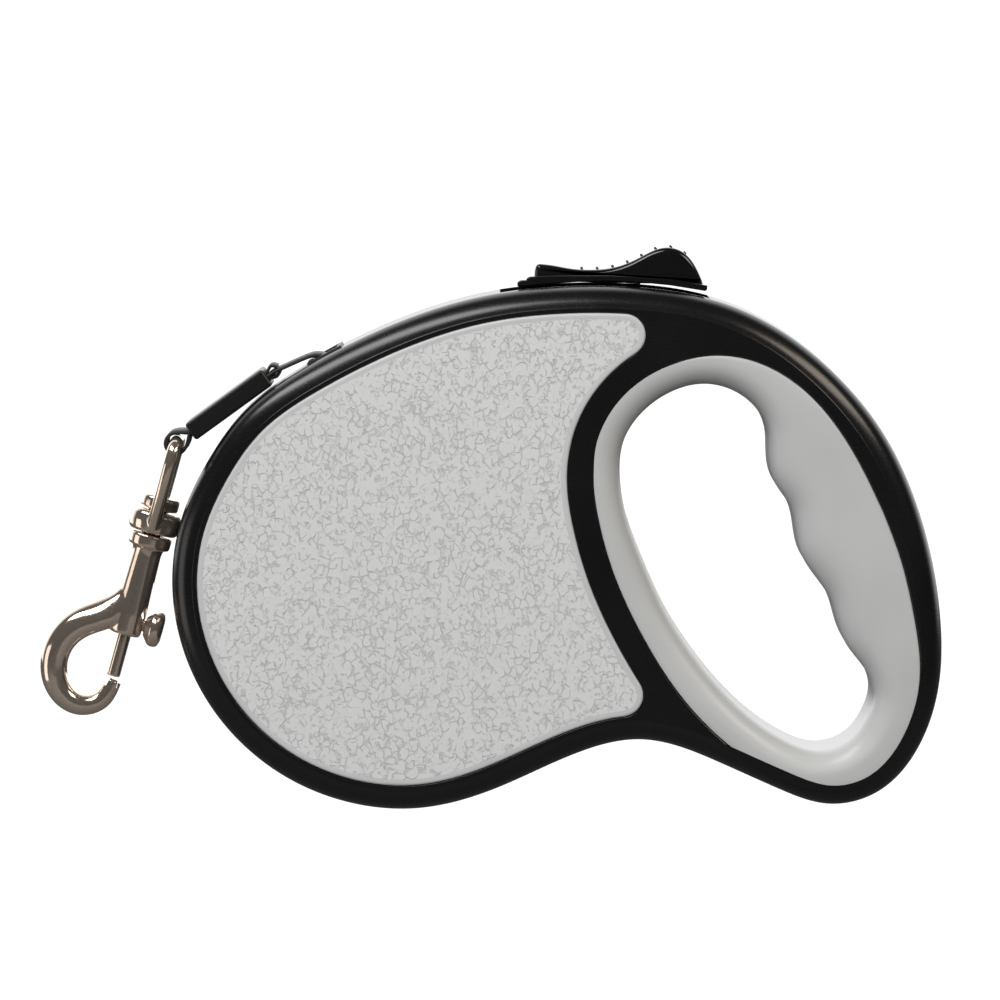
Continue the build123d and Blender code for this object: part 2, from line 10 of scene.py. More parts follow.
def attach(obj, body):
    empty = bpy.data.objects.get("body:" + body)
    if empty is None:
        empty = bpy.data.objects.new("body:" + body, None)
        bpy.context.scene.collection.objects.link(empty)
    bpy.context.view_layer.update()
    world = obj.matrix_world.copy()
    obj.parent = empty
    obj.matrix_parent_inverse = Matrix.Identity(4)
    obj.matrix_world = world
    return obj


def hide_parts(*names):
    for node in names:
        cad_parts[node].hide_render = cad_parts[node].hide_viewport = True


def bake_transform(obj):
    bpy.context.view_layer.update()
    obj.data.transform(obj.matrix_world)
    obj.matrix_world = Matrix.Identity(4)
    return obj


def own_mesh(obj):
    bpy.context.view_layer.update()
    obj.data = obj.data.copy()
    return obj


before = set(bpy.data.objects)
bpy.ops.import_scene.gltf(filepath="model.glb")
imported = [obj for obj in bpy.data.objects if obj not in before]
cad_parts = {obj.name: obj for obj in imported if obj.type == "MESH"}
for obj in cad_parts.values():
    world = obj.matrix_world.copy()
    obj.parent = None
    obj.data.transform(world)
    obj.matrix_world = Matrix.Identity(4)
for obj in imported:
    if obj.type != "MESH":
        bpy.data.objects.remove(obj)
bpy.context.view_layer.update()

bl_info = {
    "name": "Retractable leash",
    "version": (1, 0, 0),
    "blender": (4, 5, 0),
    "location": "View3D > Sidebar > Leash",
    "description": "Builds the casing, grip, brake button, tape end and snap hook of a tape leash",
    "category": "Object",
}

MM = 0.001
LEFT_AND_RIGHT = (1, -1)

# Sizes shared with the CAD model, in millimetres.
HALF = 16.5
GRIP_T = 2.2
POCKET = 1.3
PANEL_T = 1.5
TAPE_W = 15.0
TAPE_T = 0.8
HOOK_TILT = math.radians(15.5)
EYE_BAR = (-134.0, 29.2)
BAR_R = 1.6
PULL = (-0.810, -0.586)
SLEEVE_START = (-112.5, 44.9)
SLEEVE_LENGTH = 22.3
OUTLET = (-99.0, 49.8)
OUTLET_ANGLE = math.radians(29.0)
CHANNEL = ((-58.0, -9.0), 9.4, 61.5)
SCREWS_IN_SIGHT = [(-14.0, 54.6), (-18.5, -34.5)]
SCREW_RECESS_R = 3.0
SCREW_SEAT = 13.0

# Shape of the casing's rim and of the hand liner: degrees, ring counts and millimetres.
RIM_TURN = 79
RIM_STEPS = 14
HAND_SPINE = ((-11.0, 24.0), (17.5, -28.0))
ROLL_CAP = 13.0
ROLL_DEPTH_CAP = 6.2
ROLL_STEPS = 30
LINER_CROWN = 0.25
LINER_FIT = 0.02

# Voxel of the melted castings in millimetres, and the weave's waves per metre of tape.
CASTING_VOXEL = 0.24
RIB_RATE = 4200.0
TWILL_RATE = 5200.0

# Middle of the leash in metres, and the camera's sensor in millimetres.
MIDDLE = (-0.058, 0.0, 0.016)
SENSOR = 36.0

# Brightness of the studio in front of the leash and behind it.
STUDIO_FRONT = 0.035
STUDIO_BACK = 1.7

CASING_EDGE = [
    (-134.8, -3.3), (-132.4, 12.4), (-127.7, 23.0), (-117.7, 37.0), (-102.9, 47.6), (-81.3, 58.1),
    (-62.8, 63.8), (-44.1, 66.1), (-25.3, 65.9), (-6.6, 62.6), (7.5, 56.0), (21.6, 44.5),
    (30.9, 33.1), (40.3, 12.9), (45.0, -9.6), (45.0, -26.7), (41.0, -40.3), (30.9, -52.3),
    (19.2, -55.3), (7.5, -51.8), (-6.6, -45.5), (-25.3, -40.1), (-39.4, -43.1), (-58.1, -51.3),
    (-76.9, -56.3), (-95.6, -54.4), (-109.7, -48.1), (-123.8, -35.2), (-132.2, -19.2),
]
GRIP_EDGE = [
    (-6.6, 50.4), (-15.9, 49.0), (-25.3, 44.1), (-33.8, 33.5), (-36.3, 21.1), (-35.2, 12.4),
    (-31.2, -1.6), (-24.6, -15.7), (-15.5, -29.8), (-5.4, -40.3), (4.9, -47.3), (14.1, -50.7),
    (22.9, -51.2), (31.2, -47.3), (36.3, -40.3), (39.4, -31.5), (40.3, -22.0), (39.1, -12.2),
    (35.9, 1.9), (30.5, 15.9), (21.6, 32.3), (12.2, 42.9), (2.8, 48.5),
]
HAND_EDGE = [
    (-10.1, 43.4), (-18.5, 41.3), (-25.8, 35.6), (-29.1, 30.0), (-30.0, 23.0), (-28.6, 13.1),
    (-24.6, 1.9), (-19.5, -9.4), (-12.4, -20.6), (-2.6, -31.9), (8.9, -40.3), (16.9, -42.7),
    (23.9, -40.3), (28.1, -34.7), (29.5, -29.1), (27.4, -23.4), (23.2, -17.8), (21.1, -12.7),
    (19.5, -7.5), (16.2, -2.3), (12.4, 3.8), (11.3, 8.9), (9.8, 14.8), (6.1, 20.6),
    (4.9, 26.5), (4.5, 32.3), (1.2, 38.4),
]


# ---------------------------------------------------------------- curves in the side view
def spline_through(points, closed, count):
    """Evenly spaced places on the smooth curve through the points, as a (count, 2) array."""
    p = np.array(points, float)
    q = np.vstack([p, p[:1]]) if closed else p
    h = np.linalg.norm(np.diff(q, axis=0), axis=1)
    n = len(p)
    lhs = np.zeros((n, n))
    rhs = np.zeros((n, p.shape[1]))
    for i in range(n):
        if not closed and i in (0, n - 1):
            lhs[i, i] = 1.0
            continue
        before, after = h[i - 1], h[i % len(h)]
        lhs[i, (i - 1) % n] += before
        lhs[i, i] += 2 * (before + after)
        lhs[i, (i + 1) % n] += after
        rhs[i] = 6 * ((q[i + 1] - p[i]) / after - (p[i] - p[i - 1]) / before)
    bend = np.linalg.solve(lhs, rhs)
    bend = np.vstack([bend, bend[:1]]) if closed else bend
    fine = []
    for i, step in enumerate(h):
        for t in np.linspace(0, 1, 24, endpoint=False):
            a, b = 1 - t, t
            curve = (a ** 3 - a) * bend[i] + (b ** 3 - b) * bend[i + 1]
            fine.append(a * q[i] + b * q[i + 1] + curve * step * step / 6)
    fine.append(q[-1])
    return spaced(np.array(fine), count, closed)


def run_along(line):
    """Distance along a polyline at each of its places."""
    return np.concatenate([[0], np.cumsum(np.linalg.norm(np.diff(line, axis=0), axis=1))])


def unit(rows):
    """The rows of an array, each with length one."""
    return rows / np.linalg.norm(rows, axis=1)[:, None]


def spaced(line, count, closed):
    """The same polyline with evenly spaced places."""
    run = run_along(line)
    stops = np.linspace(0, run[-1], count, endpoint=not closed)
    return np.stack([np.interp(stops, run, line[:, k]) for k in range(line.shape[1])], axis=1)


def clockwise(loop):
    """Whether a closed loop runs clockwise."""
    nxt = np.roll(loop, -1, axis=0)
    return np.sum(loop[:, 0] * nxt[:, 1] - nxt[:, 0] * loop[:, 1]) < 0


def outward(loop):
    """Unit normals that point out of a closed loop."""
    along = unit(np.roll(loop, -1, axis=0) - np.roll(loop, 1, axis=0))
    side = -1 if clockwise(loop) else 1
    return np.stack([along[:, 1], -along[:, 0]], axis=1) * side


def grown(loop, amount):
    """A closed loop moved outwards, or inwards with a negative amount."""
    return loop + outward(loop) * amount


def inside(points, loop):
    """Which of the points lie inside a closed loop."""
    x, z = points[:, :1], points[:, 1:]
    ax, az = loop[:, 0], loop[:, 1]
    bx, bz = np.roll(ax, -1), np.roll(az, -1)
    crosses = (az > z) != (bz > z)
    at = (bx - ax) * (z - az) / np.where(bz == az, 1e-12, bz - az) + ax
    return np.sum(crosses & (x < at), axis=1) % 2 == 1


def longest_run(mask):
    """Indices of the longest cyclic run of true values, in order."""
    n = len(mask)
    start = int(np.argmin(mask))
    best, run = [], []
    for step in range(n + 1):
        index = (start + step) % n
        if mask[index]:
            run.append(index)
        else:
            best = run if len(run) > len(best) else best
            run = []
    return best


def panel_loop(rim, strip, corner, count):
    """Edge of the side panel: parallel to the casing on the left and to the grip on the right."""
    casing = spline_through(CASING_EDGE, True, 2400)
    grip = spline_through(GRIP_EDGE, True, 1800)
    rim_line, rim_centres = grown(casing, -rim), grown(casing, -rim - corner)
    grip_line, grip_centres = grown(grip, strip), grown(grip, strip + corner)
    keep_rim = longest_run(~inside(rim_centres, grip_centres) & (rim_line[:, 0] < -18))
    keep_grip = longest_run(inside(grip_centres, rim_centres) & (grip_line[:, 0] < -18))
    left, left_centres = rim_line[keep_rim], rim_centres[keep_rim]
    right, right_centres = grip_line[keep_grip], grip_centres[keep_grip]
    if np.linalg.norm(left[-1] - right[0]) > np.linalg.norm(left[-1] - right[-1]):
        right, right_centres = right[::-1], right_centres[::-1]
    first_corner = corner_arc(left_centres[-1], left[-1], right[0], corner)
    second_corner = corner_arc(right_centres[-1], right[-1], left[0], corner)
    line = np.vstack([left, first_corner, right, second_corner, left[:1]])
    return spaced(line, count, True)


def corner_arc(centre, start, end, radius, count=24):
    """Places on the arc round a centre between two places."""
    a = math.atan2(*(start - centre)[::-1])
    b = math.atan2(*(end - centre)[::-1])
    turn = (b - a + math.pi) % math.tau - math.pi
    angles = a + turn * np.linspace(0, 1, count)[1:-1]
    return centre + radius * np.stack([np.cos(angles), np.sin(angles)], axis=1)


# ---------------------------------------------------------------- mesh building
def lift(loop, y):
    """Places of a side-view loop at a depth, in metres."""
    return [Vector((x * MM, y * MM, z * MM)) for x, z in loop]


def first_ring(bm, places, closed=True):
    """A ring, or an open row, of new vertices joined by edges."""
    ring = [bm.verts.new(p) for p in places]
    pairs = list(zip(ring, ring[1:])) + ([(ring[-1], ring[0])] if closed else [])
    for a, b in pairs:
        bm.edges.new((a, b))
    return ring


def next_ring(bm, ring, places, closed=True):
    """Extrudes a ring and moves the copy to new places; gives the copy in the same order."""
    pairs = list(zip(ring, ring[1:])) + ([(ring[-1], ring[0])] if closed else [])
    made = bmesh.ops.extrude_edge_only(bm, edges=[bm.edges.get(pair) for pair in pairs])["geom"]
    fresh = {item for item in made if isinstance(item, bmesh.types.BMVert)}
    copy = [next(e.other_vert(v) for e in v.link_edges if e.other_vert(v) in fresh) for v in ring]
    for vert, place in zip(copy, places):
        vert.co = place
    return copy


def skin(bm, rings, wrap=False, closed=True):
    """A surface through rings of equal length; wrap joins the last ring to the first."""
    ring = first_ring(bm, rings[0], closed)
    start = ring
    for places in rings[1:]:
        ring = next_ring(bm, ring, places, closed)
    if wrap:
        next_ring(bm, ring, rings[0], closed)
        bmesh.ops.remove_doubles(bm, verts=bm.verts[:], dist=1e-7)
    return start, ring


def ring_edges(bm, ring):
    """The edges of a closed ring of vertices."""
    return [bm.edges.get(pair) for pair in zip(ring, ring[1:] + ring[:1])]


def cap(bm, ring):
    """Closes a ring with one flat face."""
    return bmesh.ops.contextual_create(bm, geom=ring_edges(bm, ring))["faces"]


def fill_between(bm, rings):
    """Fills the flat area between an outer ring and the holes inside it."""
    edges = [edge for ring in rings for edge in ring_edges(bm, ring)]
    bmesh.ops.triangle_fill(bm, use_beauty=True, use_dissolve=False, edges=edges)


def fill_solid(bm, rings):
    """A closed surface through rings, with a flat face on each end."""
    for end in skin(bm, rings):
        cap(bm, end)


def moved(bm, x, y, z, verts=None):
    """Moves a bmesh, or some of its vertices, by millimetres."""
    bmesh.ops.translate(bm, vec=(x * MM, y * MM, z * MM), verts=verts or bm.verts[:])


def rotated(bm, angle, axis):
    """Turns a bmesh about one of the row frame's axes."""
    bmesh.ops.rotate(bm, cent=(0, 0, 0), matrix=Matrix.Rotation(angle, 3, axis), verts=bm.verts[:])


def finished(bm, name, materials, sharp=35.0):
    """Turns a bmesh into a smooth-shaded object at the origin."""
    bmesh.ops.recalc_face_normals(bm, faces=bm.faces[:])
    limit = math.radians(sharp)
    for face in bm.faces:
        face.smooth = True
    for edge in bm.edges:
        edge.smooth = len(edge.link_faces) == 2 and edge.calc_face_angle(0) < limit
    mesh = bpy.data.meshes.new(name)
    bm.to_mesh(mesh)
    bm.free()
    for material in materials:
        mesh.materials.append(material)
    piece = bpy.data.objects.new(name, mesh)
    bpy.context.scene.collection.objects.link(piece)
    return piece


def with_modifier(piece, kind, **settings):
    """Applies one modifier to a piece and keeps its result as the mesh."""
    modifier = piece.modifiers.new(kind.title(), kind)
    for key, value in settings.items():
        setattr(modifier, key, value)
    bpy.context.view_layer.update()
    evaluated = piece.evaluated_get(bpy.context.evaluated_depsgraph_get())
    mesh = bpy.data.meshes.new_from_object(evaluated)
    old = piece.data
    piece.modifiers.clear()
    piece.data = mesh
    bpy.data.meshes.remove(old)
    return piece


def weighted(piece):
    """Flat faces keep flat shading next to rounded edges."""
    modifier = piece.modifiers.new("Shading", "WEIGHTED_NORMAL")
    modifier.keep_sharp = True
    return piece


def mounted(piece, body, slot, *nodes):
    """Sets what a piece rides on and hides the CAD nodes that it stands for; the finish slot is not used."""
    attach(piece, body)
    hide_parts(*nodes)
    return piece


def cut_away(piece, cutter):
    """Removes the cutter's volume from the piece."""
    with_modifier(piece, "BOOLEAN", object=cutter, operation="DIFFERENCE", solver="EXACT")
    bpy.data.objects.remove(cutter)
    return piece


def block(name, low, high, turn=0.0, centre=(0.0, 0.0)):
    """A box in side-view millimetres, turned about Y at a centre, used as a cutter."""
    bm = bmesh.new()
    bmesh.ops.create_cube(bm, size=1.0)
    size = [(b - a) * MM for a, b in zip(low, high)]
    middle = [(a + b) / 2 * MM for a, b in zip(low, high)]
    bmesh.ops.scale(bm, vec=size, verts=bm.verts[:])
    bmesh.ops.translate(bm, vec=middle, verts=bm.verts[:])
    rotated(bm, -turn, "Y")
    moved(bm, centre[0], 0, centre[1])
    return finished(bm, name, [])


# ---------------------------------------------------------------- casing
def sided(side, noun):
    """The name of a left or right piece."""
    return ("left_" if side > 0 else "right_") + noun


def rim_rings(edge, radius):
    """Rings over the wall and round the rim to a faint crease beside the inlay, as (loop, depth)."""
    rings = [(grown(edge, -0.30), 0.0), (grown(edge, -0.05), 0.25), (edge, 0.6)]
    rings += [(edge, y) for y in (3.0, 6.0, 8.5)]
    for step in range(RIM_STEPS + 1):
        angle = math.radians(RIM_TURN * step / RIM_STEPS)
        inset = radius * (1 - math.cos(angle))
        rings.append((grown(edge, -inset), HALF - radius + radius * math.sin(angle)))
    last = radius * (1 - math.cos(math.radians(RIM_TURN)))
    rings.append((grown(edge, -last - 0.12), HALF))
    return rings


def pocket_rings(edge, depth, lip):
    """Rings from the face down into a pocket, with a rounded lip."""
    rings = []
    for step in range(5):
        angle = math.radians(90 * step / 4)
        rings.append((grown(edge, lip * (1 - math.sin(angle))), HALF - lip * (1 - math.cos(angle))))
    rings.append((edge, HALF - depth))
    return rings


def build_shell(sizes, material, side):
    """Half casing with a rounded rim, panel and grip pockets, and the hand opening."""
    edge = spline_through(CASING_EDGE, True, 460)
    grip = spline_through(GRIP_EDGE, True, 300)
    hand = grown(spline_through(HAND_EDGE, True, 300), GRIP_T)
    panel = panel_loop(sizes.rim_width, sizes.strip_width, sizes.panel_corner, 420)
    bm = bmesh.new()
    shapes = (rim_rings(edge, sizes.rim_round), pocket_rings(panel, POCKET, 0.25),
              pocket_rings(grip, GRIP_T, 0.35))
    skins = [skin(bm, [lift(loop, -side * y) for loop, y in rings]) for rings in shapes]
    (start, rim), (panel_top, panel_floor), (grip_top, grip_floor) = skins
    hand_ring, hand_base = skin(bm, [lift(hand, -side * (HALF - GRIP_T)), lift(hand, 0.0)])
    fill_between(bm, [rim, panel_top, grip_top])
    fill_between(bm, [grip_floor, hand_ring])
    fill_between(bm, [start, hand_base])
    cap(bm, panel_floor)
    piece = finished(bm, sided(side, "casing"), [material], sharp=30.0)
    (x0, x1), half, floor = CHANNEL
    cut_away(piece, block("channel", (x0, -half, floor), (x1, half, floor + 12)))
    cut_away(piece, block("outlet", (-2.7, -8, -6), (2.7, 8, 6), OUTLET_ANGLE, OUTLET))
    if side < 0:
        for x, z in SCREWS_IN_SIGHT:
            cut_away(piece, round_cutter(x, z, SCREW_RECESS_R, SCREW_SEAT, HALF + 3))
    return mounted(weighted(piece), "casing", "black_plastic", sided(side, "shell"))


def round_cutter(x, z, radius, low, high):
    """A cylinder along Y in millimetres, used as a cutter."""
    bm = bmesh.new()
    bmesh.ops.create_cone(bm, cap_ends=True, segments=40, radius1=radius * MM, radius2=radius * MM,
                          depth=(high - low) * MM)
    rotated(bm, math.radians(90), "X")
    moved(bm, x, (low + high) / 2, z)
    return finished(bm, "screw_recess", [])


def build_panel(sizes, materials, side):
    """Inlay with a smooth rounded border round the grained field."""
    edge = panel_loop(sizes.rim_width + 0.08, sizes.strip_width + 0.08, sizes.panel_corner, 420)
    top = HALF - POCKET + PANEL_T
    border = sizes.panel_border
    profile = [(0.0, HALF - POCKET), (0.0, top - 0.55), (0.05, top - 0.32), (0.2, top - 0.12),
               (0.42, top - 0.02), (0.7, top), (border, top - 0.02)]
    bm = bmesh.new()
    rings = [lift(grown(edge, -inset), -side * y) for inset, y in profile]
    rings.append(lift(grown(edge, -border - 0.25), -side * (top - 0.04)))
    base, inner = skin(bm, rings)
    cap(bm, base)
    for face in cap(bm, inner):
        face.material_index = 1
    piece = finished(bm, sided(side, "inlay"), materials, sharp=50.0)
    return mounted(weighted(piece), "casing", "grey_panel", sided(side, "panel"))


def ray_out(starts, directions, loop):
    """Distance from each start along its direction to a closed loop round it."""
    seg = np.roll(loop, -1, axis=0) - loop
    reach = []
    for p, d in zip(starts, directions):
        cross = d[0] * seg[:, 1] - d[1] * seg[:, 0]
        cross = np.where(abs(cross) < 1e-12, 1e-12, cross)
        rel = loop - p
        t = (rel[:, 0] * seg[:, 1] - rel[:, 1] * seg[:, 0]) / cross
        u = (rel[:, 0] * d[1] - rel[:, 1] * d[0]) / cross
        hits = t[(t > 0) & (u >= -1e-9) & (u <= 1 + 1e-9)]
        reach.append(hits.min())
    return np.array(reach)


def build_grip(sizes, material, side):
    """Soft liner half: a rolled edge into the hand opening, wider on the finger side."""
    hand = spline_through(HAND_EDGE, True, 420)
    oval = grown(spline_through(GRIP_EDGE, True, 600), -0.12)
    spine_a, spine_b = np.array(HAND_SPINE)
    axis = spine_b - spine_a
    share = np.clip((hand - spine_a) @ axis / (axis @ axis), 0, 1)[:, None]
    out = unit(hand - (spine_a + share * axis))
    for _ in range(30):
        out = (np.roll(out, 1, axis=0) + out + np.roll(out, -1, axis=0)) / 3
    out = unit(out)
    width = ray_out(hand, out, oval)
    finger = np.clip((width - 9.0) / 8.0, 0, 1)
    finger = finger * finger * (3 - 2 * finger)
    roll = sizes.ring_roll + finger * (width * sizes.grip_roll - sizes.ring_roll)
    roll = (roll ** -4 + ROLL_CAP ** -4) ** -0.25
    depth = np.minimum(roll * 1.05, ROLL_DEPTH_CAP)
    rows = [(0.0, y) for y in (0.0, 2.5, 5.0)]
    for step in range(ROLL_STEPS + 1):
        angle = math.radians(90 * (1 - (1 - step / ROLL_STEPS) ** 1.4))
        away = roll * (1 - max(math.cos(angle), 0.0) ** (0.85 - 0.25 * finger))
        rows.append((away, HALF - depth + depth * math.sin(angle)))
    for share_out in np.linspace(0.05, 0.96, 19):
        rows.append((roll + (width - roll) * share_out, HALF - LINER_CROWN * share_out ** 3))
    back, inner = HALF - GRIP_T + LINER_FIT, GRIP_T - LINER_FIT
    rows += [(width - 0.02, HALF - LINER_CROWN - 0.25), (width, HALF - LINER_CROWN - 0.6), (width, back),
             (inner, back), (inner, 0.0)]
    bm = bmesh.new()
    skin(bm, [ring_at(hand, out, away, rise, side) for away, rise in rows], wrap=True)
    piece = finished(bm, sided(side, "hand_liner"), [material], sharp=50.0)
    return mounted(piece, "casing", "grey_grip", sided(side, "grip"))


def ring_at(hand, out, away, rise, side):
    """A ring of the liner: each place lies away from the opening's edge and at a depth."""
    flat = hand + out * np.broadcast_to(away, len(hand))[:, None]
    rise = np.broadcast_to(rise, len(hand))
    return [Vector((x * MM, -side * y * MM, z * MM)) for (x, z), y in zip(flat, rise)]


# ---------------------------------------------------------------- brake button
SADDLE_TOP = [(-48.9, 71.3), (-46.0, 71.0), (-41.5, 70.2), (-37.0, 69.9), (-32.0, 70.3), (-28.0, 71.5),
              (-24.5, 73.2), (-21.3, 74.7), (-18.4, 75.1), (-15.4, 74.2), (-12.6, 71.3), (-10.6, 67.2)]
FLANGE_EDGE = [(-53.7, 66.0), (-48.0, 66.6), (-40.0, 67.1), (-32.0, 67.3), (-25.0, 67.0), (-18.0, 66.3),
               (-10.0, 65.0), (-9.6, 65.2), (-9.5, 66.3), (-18.0, 67.8), (-32.0, 68.6), (-45.0, 68.6),
               (-50.8, 68.4), (-51.6, 68.2), (-51.9, 67.6), (-53.3, 67.5), (-53.9, 67.1), (-54.0, 66.4)]


def slab(profile, half_width, rounding, steps=6):
    """A bmesh of a side-view profile with rounded flanks."""
    rings = []
    for sign in (-1, 1):
        flank = []
        for step in range(steps + 1):
            angle = math.radians(90 * step / steps)
            inset = rounding * (1 - math.sin(angle))
            y = half_width - rounding * (1 - math.cos(angle))
            flank.append(lift(grown(profile, -inset), sign * y))
        rings += flank if sign < 0 else flank[::-1]
    bm = bmesh.new()
    fill_solid(bm, rings)
    return bm


def saddle_profile():
    """Side view of the saddle: a dished thumb seat that rises to a hump."""
    top = spline_through(SADDLE_TOP, False, 90)
    front = np.array([(-49.9, 67.2), (-49.9, 69.4), (-49.7, 70.6), (-49.3, 71.1)])
    base = np.array([(-10.4, 66.4)])
    return spaced(np.vstack([front, top, base, front[:1]]), 150, True)


def build_button(materials):
    """Saddle, flange and post of the thumb button, and the soft nubs on the saddle."""
    saddle = finished(slab(saddle_profile(), 6.8, 1.3), "brake_saddle", [materials["button"]], 40.0)
    mounted(saddle, "button", "black_plastic", "brake_button")
    flange_loop = spaced(np.array(FLANGE_EDGE + FLANGE_EDGE[:1]), 220, True)
    flange = finished(slab(flange_loop, 8.7, 0.35, 4), "brake_flange", [materials["button"]], 40.0)
    mounted(flange, "button", "black_plastic", "brake_button")
    post = block("brake_post", (-28.4, -3.0, 53.0), (-25.1, 3.0, 66.6))
    post.data.materials.append(materials["button"])
    mounted(post, "button", "black_plastic", "brake_button")
    top = spline_through(SADDLE_TOP, False, 200)
    run = run_along(top)
    bm = bmesh.new()
    for row in range(8):
        along = 10.2 + 3.65 * row
        x, z = (np.interp(along, run, top[:, k]) for k in (0, 1))
        for y in (-4.0, -2.0, 0.0, 2.0, 4.0):
            made = bmesh.ops.create_icosphere(bm, subdivisions=2, radius=0.34 * MM)["verts"]
            moved(bm, x, y, z + 0.02, made)
    nubs = finished(bm, "thumb_nubs", [materials["nubs"]], 80.0)
    mounted(nubs, "button", "nub_rubber", "button_nubs")


# ---------------------------------------------------------------- snap hook
def hook_matrix():
    """The matrix from the hook's own axes, with Z up the shank, to the row frame."""
    place = Matrix.Translation((EYE_BAR[0] * MM, 0, EYE_BAR[1] * MM))
    return place @ Matrix.Rotation(HOOK_TILT, 4, "Y")


def turned_profile(bm, profile, steps=48):
    """Spins a profile of (radius, height) in millimetres about the Z axis and closes its poles."""
    verts = [bm.verts.new((r * MM, 0, z * MM)) for r, z in profile]
    edges = [bm.edges.new(pair) for pair in zip(verts, verts[1:])]
    bmesh.ops.spin(bm, geom=verts + edges, cent=(0, 0, 0), axis=(0, 0, 1), angle=math.tau,
                   steps=steps, use_merge=True)
    bmesh.ops.remove_doubles(bm, verts=bm.verts[:], dist=1e-7)


def swept(bm, path, radii, around=28):
    """A closed tube along a path in millimetres, with its own radius at each place."""
    path = [Vector(p) for p in path]
    rings = []
    side = None
    for index, here in enumerate(path):
        ahead = path[min(index + 1, len(path) - 1)] - path[max(index - 1, 0)]
        ahead.normalize()
        if side is None:
            side = ahead.orthogonal().normalized()
        side = (side - ahead * side.dot(ahead)).normalized()
        other = ahead.cross(side)
        wide, tall = radii[index] if isinstance(radii[index], tuple) else (radii[index],) * 2
        ring = []
        for step in range(around):
            angle = math.tau * step / around
            place = here + side * math.cos(angle) * wide + other * math.sin(angle) * tall
            ring.append(place * MM)
        rings.append(ring)
    fill_solid(bm, rings)


def joined(name, bms, material, voxel, smooth):
    """Melts overlapping closed shapes into one smooth casting."""
    whole = bmesh.new()
    for bm in bms:
        bmesh.ops.recalc_face_normals(bm, faces=bm.faces[:])
        mesh = bpy.data.meshes.new("part")
        bm.to_mesh(mesh)
        whole.from_mesh(mesh)
        bm.free()
        bpy.data.meshes.remove(mesh)
    piece = finished(whole, name, [material], 180.0)
    with_modifier(piece, "REMESH", mode="VOXEL", voxel_size=voxel * MM, use_smooth_shade=True)
    with_modifier(piece, "SMOOTH", factor=0.6, iterations=smooth)
    if not piece.data.materials:
        piece.data.materials.append(material)
    return piece


# Side view of the hook's bend, and profiles of (radius, height), on the hook's own axes.
HOOK_CURVE = [
    (-0.4, -34.0), (-1.9, -39.2), (-5.2, -43.2), (-10.3, -47.0), (-13.8, -52.2), (-14.3, -58.0),
    (-11.6, -63.6), (-6.2, -66.1), (-1.4, -63.9), (0.45, -58.4),
]
SHANK_PROFILE = [
    (0, -47.2), (3.4, -47.2), (3.85, -46.6), (3.95, -42.0), (3.7, -36.0), (3.45, -27.4), (3.7, -25.9),
    (4.7, -25.7), (4.95, -25.3), (5.0, -23.1), (4.7, -22.7), (2.05, -22.6), (2.05, -16.6), (4.1, -16.55),
    (4.5, -16.1), (4.45, -14.0), (4.0, -13.4), (0, -13.3),
]
EYE_BASE_PROFILE = [
    (2.35, -22.2), (5.2, -22.2), (5.85, -21.6), (6.1, -19.8), (5.9, -18.0), (5.3, -17.1), (4.6, -16.9),
    (2.35, -16.9), (2.35, -22.2),
]
BOLT_PROFILE = [(0, -57.5), (1.4, -57.5), (1.6, -57.2), (1.6, -38.2), (1.3, -38.0), (0, -38.0)]
KNOB_PROFILE = [(0, -0.6), (2.2, -0.6), (3.2, 0.2), (4.1, 0.9), (4.35, 1.7), (4.3, 2.6), (3.9, 3.3),
                (2.6, 3.7), (0, 3.75)]
BOLT_SLOTS = (((-1.6, -1.6, -60.0), (1.6, 1.6, -26.0)), ((0.0, -1.15, -50.0), (6.0, 1.15, -33.6)))


def build_hook(material):
    """Cast hook body: rivet head and stem, collar, shank with the bolt's barrel, and the open hook."""
    lathe = bmesh.new()
    turned_profile(lathe, SHANK_PROFILE)
    curve = spline_through(HOOK_CURVE, False, 100)
    run = np.linspace(0, 1, 100)
    thick = np.interp(run, [0, 0.09, 0.2, 0.3, 0.45, 0.62, 0.76, 0.9, 1.0],
                      [2.6, 3.4, 4.3, 4.1, 3.6, 3.3, 2.75, 2.2, 1.9])
    deep = np.interp(run, [0, 0.15, 0.35, 0.7, 0.85, 1.0], [2.4, 3.1, 3.2, 2.9, 2.35, 1.9])
    bend = bmesh.new()
    swept(bend, [(x, 0, z) for x, z in curve], [(b, a) for a, b in zip(thick, deep)])
    piece = joined("snap_hook", [lathe, bend], material, CASTING_VOXEL, 6)
    for low, high in BOLT_SLOTS:
        cut_away(piece, block("slot", low, high))
    piece.data.transform(hook_matrix())
    return mounted(piece, "hook", "nickel", "hook_body")


def build_eye(material):
    """Swivel eye: a stirrup of round wire that thickens into a bored base."""
    half = spline_through([(0.0, 0.0), (5.6, 0.0), (8.6, -0.9), (9.8, -3.6), (9.7, -8.0), (8.2, -13.4),
                           (6.2, -17.6), (4.6, -20.4)], False, 60)
    ring = [(0, -y, z) for y, z in half[::-1]] + [(0, y, z) for y, z in half[1:]]
    radii = np.interp(np.abs(np.linspace(-1, 1, len(ring))), [0, 0.35, 0.8, 1.0], [1.5, 1.6, 1.6, 1.7])
    wire = bmesh.new()
    swept(wire, ring, list(radii))
    base = bmesh.new()
    turned_profile(base, EYE_BASE_PROFILE)
    piece = joined("swivel_stirrup", [wire, base], material, CASTING_VOXEL, 4)
    piece.data.transform(hook_matrix())
    return mounted(piece, "eye", "nickel", "swivel_eye")


